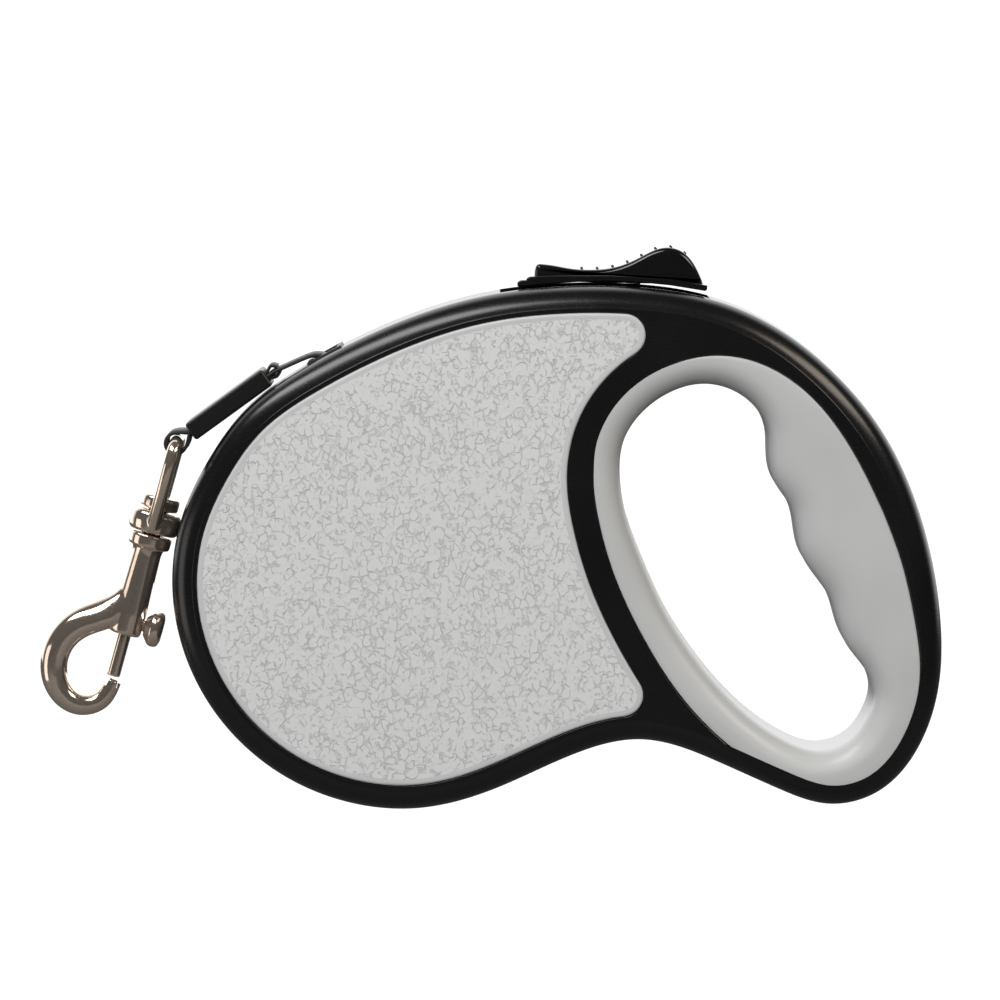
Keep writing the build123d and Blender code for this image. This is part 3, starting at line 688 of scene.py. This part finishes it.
def build_gate(material):
    """Spring bolt with its web and thumb knob."""
    bolt = bmesh.new()
    turned_profile(bolt, BOLT_PROFILE, 32)
    web = bmesh.new()
    swept(web, [(0.5, 0, -44.2), (6.5, 0, -44.2)], [(0.85, 1.7), (0.85, 1.7)])
    knob = bmesh.new()
    turned_profile(knob, KNOB_PROFILE, 40)
    rotated(knob, math.radians(90), "Y")
    moved(knob, 4.75, 0, -44.1)
    piece = joined("spring_bolt", [bolt, web, knob], material, 0.18, 3)
    piece.data.transform(hook_matrix())
    return mounted(piece, "gate", "nickel", "gate_bolt")


# ---------------------------------------------------------------- tape end
def ribbon(path, width, thickness, name, materials, edge=0.25):
    """Tape of a rounded flat section along a side-view path, with a length-and-width UV map."""
    normals = path_normals(path)
    rows = []
    section = [(-width / 2 + edge, -thickness / 2), (width / 2 - edge, -thickness / 2), (width / 2, 0),
               (width / 2 - edge, thickness / 2), (-width / 2 + edge, thickness / 2), (-width / 2, 0)]
    for (x, z), (nx, nz) in zip(path, normals):
        rows.append([Vector(((x + nx * t) * MM, y * MM, (z + nz * t) * MM)) for y, t in section])
    bm = bmesh.new()
    fill_solid(bm, rows)
    piece = finished(bm, name, materials, 60.0)
    uv = piece.data.uv_layers.new(name="tape")
    fine = spaced(path, 400, False)
    fine_run = np.linspace(0, run_along(path)[-1], 400)
    for loop in piece.data.loops:
        co = piece.data.vertices[loop.vertex_index].co
        near = np.argmin((fine[:, 0] * MM - co.x) ** 2 + (fine[:, 1] * MM - co.z) ** 2)
        uv.data[loop.index].uv = (fine_run[near] * MM, co.y)
    return piece


def path_normals(path):
    """Unit normals on the left of an open side-view path."""
    along = unit(np.gradient(path, axis=0))
    return np.stack([-along[:, 1], along[:, 0]], axis=1)


def outlet_point(along, above):
    """A side-view point near the outlet, from its place along and above the wall."""
    c, s = math.cos(OUTLET_ANGLE), math.sin(OUTLET_ANGLE)
    return (OUTLET[0] + along * c - above * s, OUTLET[1] + along * s + above * c)


def pulled(distance, above=0.0):
    """A side-view point along the pull direction from the sleeve's start."""
    return (SLEEVE_START[0] + PULL[0] * distance + PULL[1] * above,
            SLEEVE_START[1] + PULL[1] * distance - PULL[0] * above)


def build_tape_end(materials):
    """Tape over the outlet's lip, the moulded sleeve, and the tape loop round the eye's bar."""
    over_lip = [outlet_point(0.3, -0.85), outlet_point(-0.9, 0.45), (-101.6, 49.8), (-103.6, 49.2),
                (-106.5, 47.95), (-109.5, 46.6), (-111.3, 45.75), pulled(0.0), pulled(4.0)]
    lead_path = spline_through(over_lip, False, 110)
    lead = ribbon(lead_path, TAPE_W, TAPE_T, "tape_over_lip", [materials["tape"]])
    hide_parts("tape_lead")
    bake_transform(lead)

    tails = (((0.95, 1.5, 0.35), 12.0), ((-0.9, -1.3, -0.4), 13.5))
    for number, ((inner, mid, outer), width) in enumerate(tails, 1):
        bent = [pulled(1.5, inner), pulled(-0.6, inner), pulled(-1.9, mid), pulled(-3.1, outer)]
        tail = ribbon(spline_through(bent, False, 24), width, 0.7, f"tape_tail_{number}", [materials["tape"]])
        mounted(tail, "leash_end", "black_tape")

    strap = ribbon(loop_path(), TAPE_W, TAPE_T, "tape_round_eye", [materials["tape"]])
    mounted(strap, "leash_end", "black_tape", "tape_loop")
    build_sleeve(materials["sleeve"])


def loop_path():
    """The doubled tape: out of the sleeve, round the bar and back."""
    radius = BAR_R + 0.45 + TAPE_T / 2
    pull_angle = math.atan2(PULL[1], PULL[0])
    path = [pulled(SLEEVE_LENGTH - 5, 0.62), pulled(SLEEVE_LENGTH - 1, 0.7)]
    for step in range(-8, 9):
        angle = pull_angle - math.radians(step * 14.0)
        path.append((EYE_BAR[0] + radius * math.cos(angle), EYE_BAR[1] + radius * math.sin(angle)))
    path += [pulled(SLEEVE_LENGTH - 1, -0.7), pulled(SLEEVE_LENGTH - 5, -0.62)]
    return spline_through(path, False, 120)


def build_sleeve(material):
    """Moulded sleeve with rounded edges over the stitched tape."""
    bm = bmesh.new()
    bmesh.ops.create_cube(bm, size=1.0)
    bmesh.ops.scale(bm, vec=(SLEEVE_LENGTH * MM, (TAPE_W + 2) * MM, 4.6 * MM), verts=bm.verts[:])
    bmesh.ops.bevel(bm, geom=bm.edges[:], offset=0.7 * MM, segments=4, affect="EDGES", profile=0.5,
                    material=-1)
    rotated(bm, -math.atan2(PULL[1], PULL[0]), "Y")
    x, z = pulled(SLEEVE_LENGTH / 2)
    moved(bm, x, 0, z)
    sleeve = finished(bm, "stitch_sleeve", [material], 50.0)
    return mounted(weighted(sleeve), "leash_end", "sleeve_rubber", "tape_sleeve")


# ---------------------------------------------------------------- materials
def new_material(name, **values):
    """A Principled material, its tree and its shader, with plain values on the shader's own sockets."""
    material = bpy.data.materials.new(name)
    material.use_nodes = True
    tree = material.node_tree
    shader = tree.nodes["Principled BSDF"]
    for socket, value in values.items():
        shader.inputs[socket.replace("_", " ")].default_value = value
    return material, tree, shader


def feed(shader, socket, value):
    """Links a value to one of the shader's sockets."""
    shader.id_data.links.new(value, shader.inputs[socket])


def scaled(colour, factor):
    """A colour made darker or lighter."""
    return tuple(c * factor for c in colour)


def place_node(tree, kind, **settings):
    """Adds a node and sets its properties."""
    node = tree.nodes.new(kind)
    for key, value in settings.items():
        setattr(node, key, value)
    return node


def new_group(name, inputs, outputs):
    """An empty shader group with named float or colour sockets."""
    group = bpy.data.node_groups.new(name, "ShaderNodeTree")
    for socket, value in inputs.items():
        kind = "NodeSocketVector" if socket == "Vector" else "NodeSocketFloat"
        made = group.interface.new_socket(name=socket, in_out="INPUT", socket_type=kind)
        if kind == "NodeSocketFloat":
            made.default_value = value
    for socket in outputs:
        group.interface.new_socket(name=socket, in_out="OUTPUT", socket_type="NodeSocketFloat")
    return group, group.nodes.new("NodeGroupInput"), group.nodes.new("NodeGroupOutput")


def calc(tree, operation, a, b=0.0, c=0.0, clamp=False):
    """A Math node whose inputs are sockets or numbers; gives its output socket."""
    node = place_node(tree, "ShaderNodeMath", operation=operation, use_clamp=clamp)
    for socket, value in zip(node.inputs, (a, b, c)):
        if isinstance(value, (int, float)):
            socket.default_value = value
        else:
            tree.links.new(value, socket)
    return node.outputs[0]


def noise(tree, vector, scale, detail=3.0, roughness=0.55):
    """A noise texture's factor."""
    node = place_node(tree, "ShaderNodeTexNoise")
    node.inputs["Detail"].default_value = detail
    node.inputs["Roughness"].default_value = roughness
    if isinstance(scale, (int, float)):
        node.inputs["Scale"].default_value = scale
    else:
        tree.links.new(scale, node.inputs["Scale"])
    tree.links.new(vector, node.inputs["Vector"])
    return node.outputs["Fac"]


def grain_group():
    """Fine moulded grain: a height and a slow variation."""
    group, start, end = new_group("fine_grain", {"Vector": 0, "Scale": 2500.0}, ["Height", "Variation"])
    group.links.new(noise(group, start.outputs["Vector"], start.outputs["Scale"]), end.inputs["Height"])
    slow = calc(group, "MULTIPLY", start.outputs["Scale"], 0.02)
    group.links.new(noise(group, start.outputs["Vector"], slow, 4.0), end.inputs["Variation"])
    return group


def wear_group():
    """Sparse hairline scratches and dust specks for handled plastic and metal."""
    group, start, end = new_group("handling_wear", {"Vector": 0, "Scratch Scale": 260.0},
                                  ["Scratches", "Specks"])
    mapping = place_node(group, "ShaderNodeMapping")
    mapping.inputs["Scale"].default_value = (1.0, 1.0, 9.0)
    mapping.inputs["Rotation"].default_value = (0.0, 0.6, 0.0)
    group.links.new(start.outputs["Vector"], mapping.inputs["Vector"])
    lines = noise(group, mapping.outputs["Vector"], start.outputs["Scratch Scale"], 2.0)
    ridge = calc(group, "ABSOLUTE", calc(group, "SUBTRACT", lines, 0.5))
    group.links.new(calc(group, "SUBTRACT", 1.0, calc(group, "MULTIPLY", ridge, 60.0), clamp=True),
                    end.inputs["Scratches"])
    dots = place_node(group, "ShaderNodeTexVoronoi")
    dots.inputs["Scale"].default_value = 900.0
    group.links.new(start.outputs["Vector"], dots.inputs["Vector"])
    speck = calc(group, "LESS_THAN", dots.outputs["Distance"], 0.10)
    rare = calc(group, "GREATER_THAN", noise(group, start.outputs["Vector"], 420.0), 0.66)
    group.links.new(calc(group, "MULTIPLY", speck, rare), end.inputs["Specks"])
    return group


def use_group(tree, group, vector, **values):
    """Places a group in a material and feeds it object coordinates."""
    node = place_node(tree, "ShaderNodeGroup", node_tree=group)
    tree.links.new(vector, node.inputs["Vector"])
    for name, value in values.items():
        node.inputs[name.replace("_", " ")].default_value = value
    return node


def object_vector(tree):
    """Object coordinates."""
    return place_node(tree, "ShaderNodeTexCoord").outputs["Object"]


def bump(tree, shader, height, distance, strength=1.0):
    """Feeds a height to the shader's normal; distance is in metres."""
    node = place_node(tree, "ShaderNodeBump")
    node.inputs["Distance"].default_value = distance
    node.inputs["Strength"].default_value = strength
    tree.links.new(height, node.inputs["Height"])
    tree.links.new(node.outputs["Normal"], shader.inputs["Normal"])


def ramp(tree, factor, *stops):
    """A colour ramp over a factor; stops are (position, colour)."""
    node = place_node(tree, "ShaderNodeValToRGB")
    elements = node.color_ramp.elements
    while len(elements) < len(stops):
        elements.new(0.5)
    for element, (position, colour) in zip(elements, stops):
        element.position = position
        element.color = (*colour, 1.0)
    tree.links.new(factor, node.inputs["Fac"])
    return node.outputs["Color"]


def value_range(tree, value, low, high):
    """Maps 0 to 1 onto a range."""
    node = place_node(tree, "ShaderNodeMapRange")
    node.inputs["To Min"].default_value = low
    node.inputs["To Max"].default_value = high
    tree.links.new(value, node.inputs["Value"])
    return node.outputs["Result"]


def black_plastic(groups, colour, name="glossy_black", roughness=(0.07, 0.15)):
    """High-gloss moulded plastic with faint handling marks."""
    material, tree, shader = new_material(name, Specular_IOR_Level=0.5)
    vector = object_vector(tree)
    grain = use_group(tree, groups["grain"], vector, Scale=1800.0)
    wear = use_group(tree, groups["wear"], vector)
    spots = calc(tree, "MULTIPLY", wear.outputs["Specks"], 0.02)
    shade = calc(tree, "ADD", spots, grain.outputs["Variation"])
    feed(shader, "Base Color", ramp(tree, shade, (0.3, colour), (0.9, scaled(colour, 1.6))))
    rough = value_range(tree, grain.outputs["Variation"], *roughness)
    feed(shader, "Roughness", calc(tree, "MULTIPLY_ADD", wear.outputs["Scratches"], 0.06, rough))
    marks = calc(tree, "ADD", grain.outputs["Height"], wear.outputs["Scratches"])
    bump(tree, shader, marks, 0.000002, 0.2)
    return material


def leather_group():
    """Moulded leather: plateaus of mixed size parted by short wandering creases."""
    group, start, end = new_group("leather_crackle", {"Vector": 0, "Cell Scale": 540.0},
                                  ["Height", "Crease"])
    warp = place_node(group, "ShaderNodeTexNoise")
    warp.inputs["Scale"].default_value = 760.0
    warp.inputs["Detail"].default_value = 4.0
    warp.inputs["Roughness"].default_value = 0.6
    group.links.new(start.outputs["Vector"], warp.inputs["Vector"])
    shift = place_node(group, "ShaderNodeVectorMath", operation="MULTIPLY_ADD")
    group.links.new(warp.outputs["Color"], shift.inputs[0])
    shift.inputs[1].default_value = (0.0022, 0.0022, 0.0022)
    tall = place_node(group, "ShaderNodeMapping")
    tall.inputs["Scale"].default_value = (1.0, 1.0, 0.78)
    group.links.new(start.outputs["Vector"], tall.inputs["Vector"])
    group.links.new(tall.outputs["Vector"], shift.inputs[2])
    layers = []
    for index, (share, width, gap) in enumerate(((1.0, 0.075, 0.40), (1.8, 0.08, 0.52))):
        cells = place_node(group, "ShaderNodeTexVoronoi", feature="DISTANCE_TO_EDGE")
        size = calc(group, "MULTIPLY", start.outputs["Cell Scale"], share)
        group.links.new(size, cells.inputs["Scale"])
        group.links.new(shift.outputs["Vector"], cells.inputs["Vector"])
        line = place_node(group, "ShaderNodeMapRange", interpolation_type="SMOOTHSTEP")
        line.inputs["From Max"].default_value = width
        group.links.new(cells.outputs["Distance"], line.inputs["Value"])
        crease = calc(group, "SUBTRACT", 1.0, line.outputs["Result"])
        fade = place_node(group, "ShaderNodeMapRange", interpolation_type="SMOOTHSTEP")
        fade.inputs["From Min"].default_value = gap
        fade.inputs["From Max"].default_value = gap + 0.14
        patches = noise(group, start.outputs["Vector"], 520.0 + 300.0 * index, 2.0)
        group.links.new(patches, fade.inputs["Value"])
        layers.append(calc(group, "MULTIPLY", crease, fade.outputs["Result"]))
    crease = calc(group, "MAXIMUM", layers[0], calc(group, "MULTIPLY", layers[1], 0.75))
    rolling = calc(group, "MULTIPLY", noise(group, shift.outputs["Vector"], 900.0, 3.0), 0.6)
    group.links.new(crease, end.inputs["Crease"])
    group.links.new(calc(group, "SUBTRACT", rolling, crease), end.inputs["Height"])
    return group


def leather_panel(groups, colour, crease_shade):
    """Light grey inlay moulded with a fine crackled leather grain, with painted shade darkening its creases.
    """
    material, tree, shader = new_material("crackled_inlay")
    vector = object_vector(tree)
    crackle = use_group(tree, groups["leather"], vector)
    mottle = calc(tree, "MULTIPLY_ADD", noise(tree, vector, 90.0, 4.0), 0.04, -0.02)
    shade = calc(tree, "ADD", crackle.outputs["Crease"], mottle)
    # Base colour is darker in the creases: painted shade in the creases.
    feed(shader, "Base Color", ramp(tree, shade, (0.0, colour), (0.95, crease_shade)))
    feed(shader, "Roughness", value_range(tree, crackle.outputs["Crease"], 0.40, 0.6))
    grain = use_group(tree, groups["grain"], vector, Scale=3000.0)
    height = calc(tree, "MULTIPLY_ADD", grain.outputs["Height"], 0.08, crackle.outputs["Height"])
    bump(tree, shader, height, 0.00012)
    return material


def soft_grey(groups, name, colour, roughness, scale=2600.0, depth=0.000008):
    """Satin moulded plastic or soft-touch rubber."""
    material, tree, shader = new_material(name)
    vector = object_vector(tree)
    grain = use_group(tree, groups["grain"], vector, Scale=scale)
    variation = grain.outputs["Variation"]
    feed(shader, "Base Color", ramp(tree, variation, (0.3, scaled(colour, 0.93)), (0.7, colour)))
    feed(shader, "Roughness", value_range(tree, variation, roughness - 0.04, roughness + 0.05))
    bump(tree, shader, grain.outputs["Height"], depth, 0.5)
    return material


def nickel(groups, colour, name="nickel_plate"):
    """Polished nickel plate over a casting, with warm tint and slight waviness."""
    material, tree, shader = new_material(name, Metallic=0.93)
    vector = object_vector(tree)
    grain = use_group(tree, groups["grain"], vector, Scale=900.0)
    wear = use_group(tree, groups["wear"], vector)
    variation = grain.outputs["Variation"]
    feed(shader, "Base Color", ramp(tree, variation, (0.3, scaled(colour, 0.86)), (0.7, colour)))
    rough = value_range(tree, variation, 0.05, 0.14)
    feed(shader, "Roughness", calc(tree, "MULTIPLY_ADD", wear.outputs["Scratches"], 0.08, rough))
    bump(tree, shader, grain.outputs["Height"], 0.00003, 0.35)
    return material


def woven_tape(groups, colour):
    """Nylon webbing: a fine herringbone of ribs, with painted shade darkening the gaps."""
    material, tree, shader = new_material("woven_tape", Sheen_Weight=0.2, Sheen_Roughness=0.4)
    uv = place_node(tree, "ShaderNodeUVMap", uv_map="tape").outputs["UV"]
    split = place_node(tree, "ShaderNodeSeparateXYZ")
    tree.links.new(uv, split.inputs["Vector"])
    along, across = split.outputs["X"], split.outputs["Y"]
    ribs = calc(tree, "ABSOLUTE", calc(tree, "SINE", calc(tree, "MULTIPLY", across, RIB_RATE)))
    slant = calc(tree, "ADD", calc(tree, "MULTIPLY", along, TWILL_RATE),
                 calc(tree, "MULTIPLY", calc(tree, "ABSOLUTE", across), RIB_RATE))
    twill = calc(tree, "ABSOLUTE", calc(tree, "SINE", slant))
    height = calc(tree, "MULTIPLY", calc(tree, "MULTIPLY_ADD", ribs, 0.6, 0.4),
                  calc(tree, "MULTIPLY_ADD", twill, 0.5, 0.5))
    # Base colour follows the height, darker in the gaps and lighter on the rib tops: painted shade in the
    # gaps and painted light on the rib tops.
    feed(shader, "Base Color", ramp(tree, height, (0.1, scaled(colour, 0.4)), (0.9, scaled(colour, 1.8))))
    feed(shader, "Roughness", value_range(tree, height, 0.9, 0.55))
    bump(tree, shader, height, 0.00012, 0.9)
    return material


def make_materials(colours):
    """Every finish of the leash, by name."""
    groups = {"grain": grain_group(), "wear": wear_group(), "leather": leather_group()}
    plain = tuple(colours.panel)
    return {
        "plastic": black_plastic(groups, tuple(colours.plastic), "casing_black", (0.2, 0.27)),
        "button": black_plastic(groups, tuple(colours.plastic)),
        # The field's crease colour, 7 percent darker, is painted shade in the creases.
        "field": leather_panel(groups, plain, scaled(plain, 0.93)),
        "border": soft_grey(groups, "inlay_border", scaled(plain, 0.84), 0.42),
        "grip": soft_grey(groups, "soft_liner", tuple(colours.grip), 0.34),
        "metal": nickel(groups, tuple(colours.metal)),
        "tape": woven_tape(groups, tuple(colours.tape)),
        "sleeve": soft_grey(groups, "sleeve_vinyl", (0.006, 0.006, 0.006), 0.36, 1500.0, 0.00002),
        "nubs": soft_grey(groups, "nub_rubber", (0.014, 0.015, 0.014), 0.5),
        "guide": soft_grey(groups, "guide_acetal", (0.02, 0.02, 0.02), 0.4),
        "nylon": soft_grey(groups, "spool_nylon", (0.72, 0.71, 0.68), 0.42),
        "steel": nickel(groups, (0.62, 0.62, 0.63), "zinc_steel"),
    }


SPRINGS = {
    "button_spring": ("brake_press", (0.0, 0.0, 1.0), min, 0.4),
    "gate_spring": ("gate_slide", (0.267238, 0.0, 0.96363), max, 0.33),
}

CAD_FINISHES = {
    "casing_screws": "steel", "outlet_guide": "guide", "spool_axle": "steel", "spring_arbor": "guide",
    "left_thrust_washer": "nylon", "right_thrust_washer": "nylon", "spool_drum": "nylon",
    "spool_flange": "nylon", "tape_roll": "sleeve", "clock_spring": "steel", "tape_run": "sleeve",
    "gate_spring": "steel",
    "lock_carrier": "guide", "brake_pawl": "guide", "pawl_pin": "steel", "button_spring": "steel",
    "pawl_spring": "steel",
}


def squeezed(spring, axis, fixed_end):
    """Finds a coil spring's fixed end along an axis and gives the spring a mesh of its own; nothing shortens
    it.
    """
    places = [spring.matrix_world @ vertex.co for vertex in spring.data.vertices]
    fixed = fixed_end(places, key=Vector(axis).dot)
    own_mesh(spring)


# ---------------------------------------------------------------- stage
def area_light(name, place, size, power, colour=(1.0, 1.0, 1.0), mirrored=True):
    """A soft rectangular light that points at the leash; unmirrored ones leave no highlight."""
    data = bpy.data.lights.new(name, "AREA")
    data.shape = "RECTANGLE"
    data.size, data.size_y = size
    data.energy = power
    data.color = colour
    lamp = bpy.data.objects.new(name, data)
    lamp.location = place
    lamp.rotation_euler = (Vector(MIDDLE) - Vector(place)).to_track_quat("-Z", "Y").to_euler()
    lamp.visible_glossy = mirrored
    bpy.context.scene.collection.objects.link(lamp)


def studio_world():
    """White studio: bright behind the object and dim on the camera's side."""
    world = bpy.data.worlds.new("studio")
    bpy.context.scene.world = world
    world.use_nodes = True
    tree = world.node_tree
    background = tree.nodes["Background"]
    background.inputs["Color"].default_value = (1.0, 1.0, 1.0, 1.0)
    coords = place_node(tree, "ShaderNodeTexCoord")
    split = place_node(tree, "ShaderNodeSeparateXYZ")
    tree.links.new(coords.outputs["Generated"], split.inputs["Vector"])
    blend = place_node(tree, "ShaderNodeMapRange", interpolation_type="SMOOTHSTEP")
    blend.inputs["From Min"].default_value = 0.2
    blend.inputs["From Max"].default_value = 0.7
    blend.inputs["To Min"].default_value = STUDIO_FRONT
    blend.inputs["To Max"].default_value = STUDIO_BACK
    tree.links.new(split.outputs["Y"], blend.inputs["Value"])
    camera = place_node(tree, "ShaderNodeLightPath").outputs["Is Camera Ray"]
    strength = calc(tree, "MAXIMUM", blend.outputs["Result"], camera)
    tree.links.new(strength, background.inputs["Strength"])


def pale_floor():
    """White to the eye, and a dim pale grey in reflections."""
    material, tree, shader = new_material("pale_floor", Base_Color=(0.1, 0.1, 0.1, 1.0), Roughness=0.9,
                                          Emission_Color=(1.0, 1.0, 1.0, 1.0))
    feed(shader, "Emission Strength", place_node(tree, "ShaderNodeLightPath").outputs["Is Camera Ray"])
    return material


def build_stage(sizes):
    """Pale floor, soft lights and the camera."""
    bm = bmesh.new()
    bmesh.ops.create_grid(bm, x_segments=1, y_segments=1, size=12.0)
    bmesh.ops.translate(bm, vec=(0, 0, sizes.floor_height), verts=bm.verts[:])
    floor = finished(bm, "floor", [pale_floor()])
    studio_world()
    area_light("upper_left_softbox", (-0.6, -0.5, 1.05), (1.2, 0.35), 11.0)
    area_light("upper_right_softbox", (0.8, -0.6, 0.75), (0.7, 0.35), 5.0, (1.0, 0.88, 0.75))
    area_light("left_card", (-1.1, -0.2, -0.1), (0.5, 0.7), 1.5, (1.0, 0.94, 0.88))
    area_light("front_fill", (-0.25, -1.6, 0.8), (1.6, 1.2), 32.0, mirrored=False)
    camera_data = bpy.data.cameras.new("camera")
    distance = sizes.camera_distance
    camera_data.lens = SENSOR * distance / sizes.view_width
    camera = bpy.data.objects.new("camera", camera_data)
    tilt = sizes.camera_tilt
    target = Vector((MIDDLE[0], sizes.view_depth, MIDDLE[2]))
    camera.location = target + Vector((0, -distance * math.cos(tilt), distance * math.sin(tilt)))
    camera.rotation_euler = (target - camera.location).to_track_quat("-Z", "Y").to_euler()
    bpy.context.scene.collection.objects.link(camera)
    bpy.context.scene.camera = camera
    bpy.context.scene.view_settings.view_transform = "Standard"


# ---------------------------------------------------------------- add-on
def millimetres(name, description, default):
    """A size in millimetres."""
    return bpy.props.FloatProperty(name=name, description=f"{description}, mm", default=default)


def metres(name, description, default):
    """A size in scene units."""
    return bpy.props.FloatProperty(name=name, description=description, default=default, unit="LENGTH")


def paint(name, description, default):
    """A base colour."""
    return bpy.props.FloatVectorProperty(name=name, description=description, default=default,
                                         subtype="COLOR")


class LeashSizes(bpy.types.PropertyGroup):
    """Sizes that a user would change"""
    rim_width: millimetres("Rim width", "Plain rim round the inlays", 6.0)
    rim_round: millimetres("Rim rounding", "Radius of the rim", 6.0)
    strip_width: millimetres("Strip", "Strip between inlay and grip", 6.0)
    panel_corner: millimetres("Inlay corner", "Corner radius", 5.0)
    panel_border: millimetres("Inlay border", "Smooth border", 1.2)
    ring_roll: millimetres("Ring roll", "Roll of the plain part of the liner", 6.2)
    grip_roll: bpy.props.FloatProperty(name="Grip roll", description="Share of the grip that rolls in",
                                       default=0.66)
    floor_height: metres("Floor height", "Height of the floor", -0.35)
    camera_distance: metres("Camera distance", "Distance to the leash", 1.5)
    view_depth: metres("View depth", "Depth at which the view width holds", -0.008)
    view_width: metres("View width", "Width seen by the camera", 0.2344)
    camera_tilt: bpy.props.FloatProperty(name="Camera tilt", description="Height angle of the camera",
                                         default=math.radians(4.2), unit="ROTATION")


class LeashColours(bpy.types.PropertyGroup):
    """Base colours of the finishes"""
    plastic: paint("Casing", "Glossy casing plastic", (0.0035, 0.0035, 0.004))
    panel: paint("Inlay", "Grained side inlays", (0.49, 0.495, 0.50))
    grip: paint("Grip", "Soft hand liner", (0.385, 0.392, 0.39))
    metal: paint("Metal", "Nickel-plated hook", (0.82, 0.69, 0.58))
    tape: paint("Tape", "Woven tape", (0.012, 0.012, 0.013))


FINISHES = {}


class LEASH_OT_finishes(bpy.types.Operator):
    """Make the materials and give the inner CAD pieces theirs"""
    bl_idname = "leash.finishes"
    bl_label = "Finishes"

    def execute(self, context):
        FINISHES.update(make_materials(context.scene.leash_colours))
        for node, finish in CAD_FINISHES.items():
            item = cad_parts[node]
            item.data.materials.clear()
            item.data.materials.append(FINISHES[finish])
        for node, (joint, axis, fixed_end, keep) in SPRINGS.items():
            squeezed(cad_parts[node], axis, fixed_end)
        return {"FINISHED"}


class LEASH_OT_casing(bpy.types.Operator):
    """Build the two half shells and their grained inlays"""
    bl_idname = "leash.casing"
    bl_label = "Casing"

    def execute(self, context):
        sizes = context.scene.leash_sizes
        for side in LEFT_AND_RIGHT:
            build_shell(sizes, FINISHES["plastic"], side)
            build_panel(sizes, [FINISHES["border"], FINISHES["field"]], side)
        return {"FINISHED"}


class LEASH_OT_grips(bpy.types.Operator):
    """Build the soft liner round the hand opening"""
    bl_idname = "leash.grips"
    bl_label = "Grips"

    def execute(self, context):
        for side in LEFT_AND_RIGHT:
            build_grip(context.scene.leash_sizes, FINISHES["grip"], side)
        return {"FINISHED"}


class LEASH_OT_button(bpy.types.Operator):
    """Build the thumb button with its soft nubs"""
    bl_idname = "leash.button"
    bl_label = "Brake button"

    def execute(self, context):
        build_button(FINISHES)
        return {"FINISHED"}


class LEASH_OT_tape_end(bpy.types.Operator):
    """Build the tape at the outlet, its sleeve and the loop round the eye"""
    bl_idname = "leash.tape_end"
    bl_label = "Tape end"

    def execute(self, context):
        build_tape_end(FINISHES)
        return {"FINISHED"}


class LEASH_OT_snap_hook(bpy.types.Operator):
    """Build the swivel eye, the hook and its spring bolt"""
    bl_idname = "leash.snap_hook"
    bl_label = "Snap hook"

    def execute(self, context):
        build_eye(FINISHES["metal"])
        build_hook(FINISHES["metal"])
        build_gate(FINISHES["metal"])
        return {"FINISHED"}


class LEASH_OT_stage(bpy.types.Operator):
    """Set up the floor, the lights and the camera"""
    bl_idname = "leash.stage"
    bl_label = "Stage"

    def execute(self, context):
        build_stage(context.scene.leash_sizes)
        return {"FINISHED"}


OPERATORS = (LEASH_OT_stage, LEASH_OT_finishes, LEASH_OT_casing, LEASH_OT_grips, LEASH_OT_button,
             LEASH_OT_tape_end, LEASH_OT_snap_hook)


class LEASH_PT_sidebar(bpy.types.Panel):
    """Sidebar panel with the sizes, the colours and one button for each step"""
    bl_label = "Retractable leash"
    bl_idname = "LEASH_PT_sidebar"
    bl_space_type = "VIEW_3D"
    bl_region_type = "UI"
    bl_category = "Leash"

    def draw(self, context):
        for group in (context.scene.leash_sizes, context.scene.leash_colours):
            for name in group.__annotations__:
                self.layout.prop(group, name)
        for operator in OPERATORS:
            self.layout.operator(operator.bl_idname)


CLASSES = (LeashSizes, LeashColours, *OPERATORS, LEASH_PT_sidebar)


def register():
    for item in CLASSES:
        bpy.utils.register_class(item)
    bpy.types.Scene.leash_sizes = bpy.props.PointerProperty(type=LeashSizes)
    bpy.types.Scene.leash_colours = bpy.props.PointerProperty(type=LeashColours)


def unregister():
    del bpy.types.Scene.leash_colours
    del bpy.types.Scene.leash_sizes
    for item in reversed(CLASSES):
        bpy.utils.unregister_class(item)


def main():
    register()
    for operator in OPERATORS:
        getattr(bpy.ops.leash, operator.bl_idname.split(".")[1])()


if __name__ == "__main__":
    main()
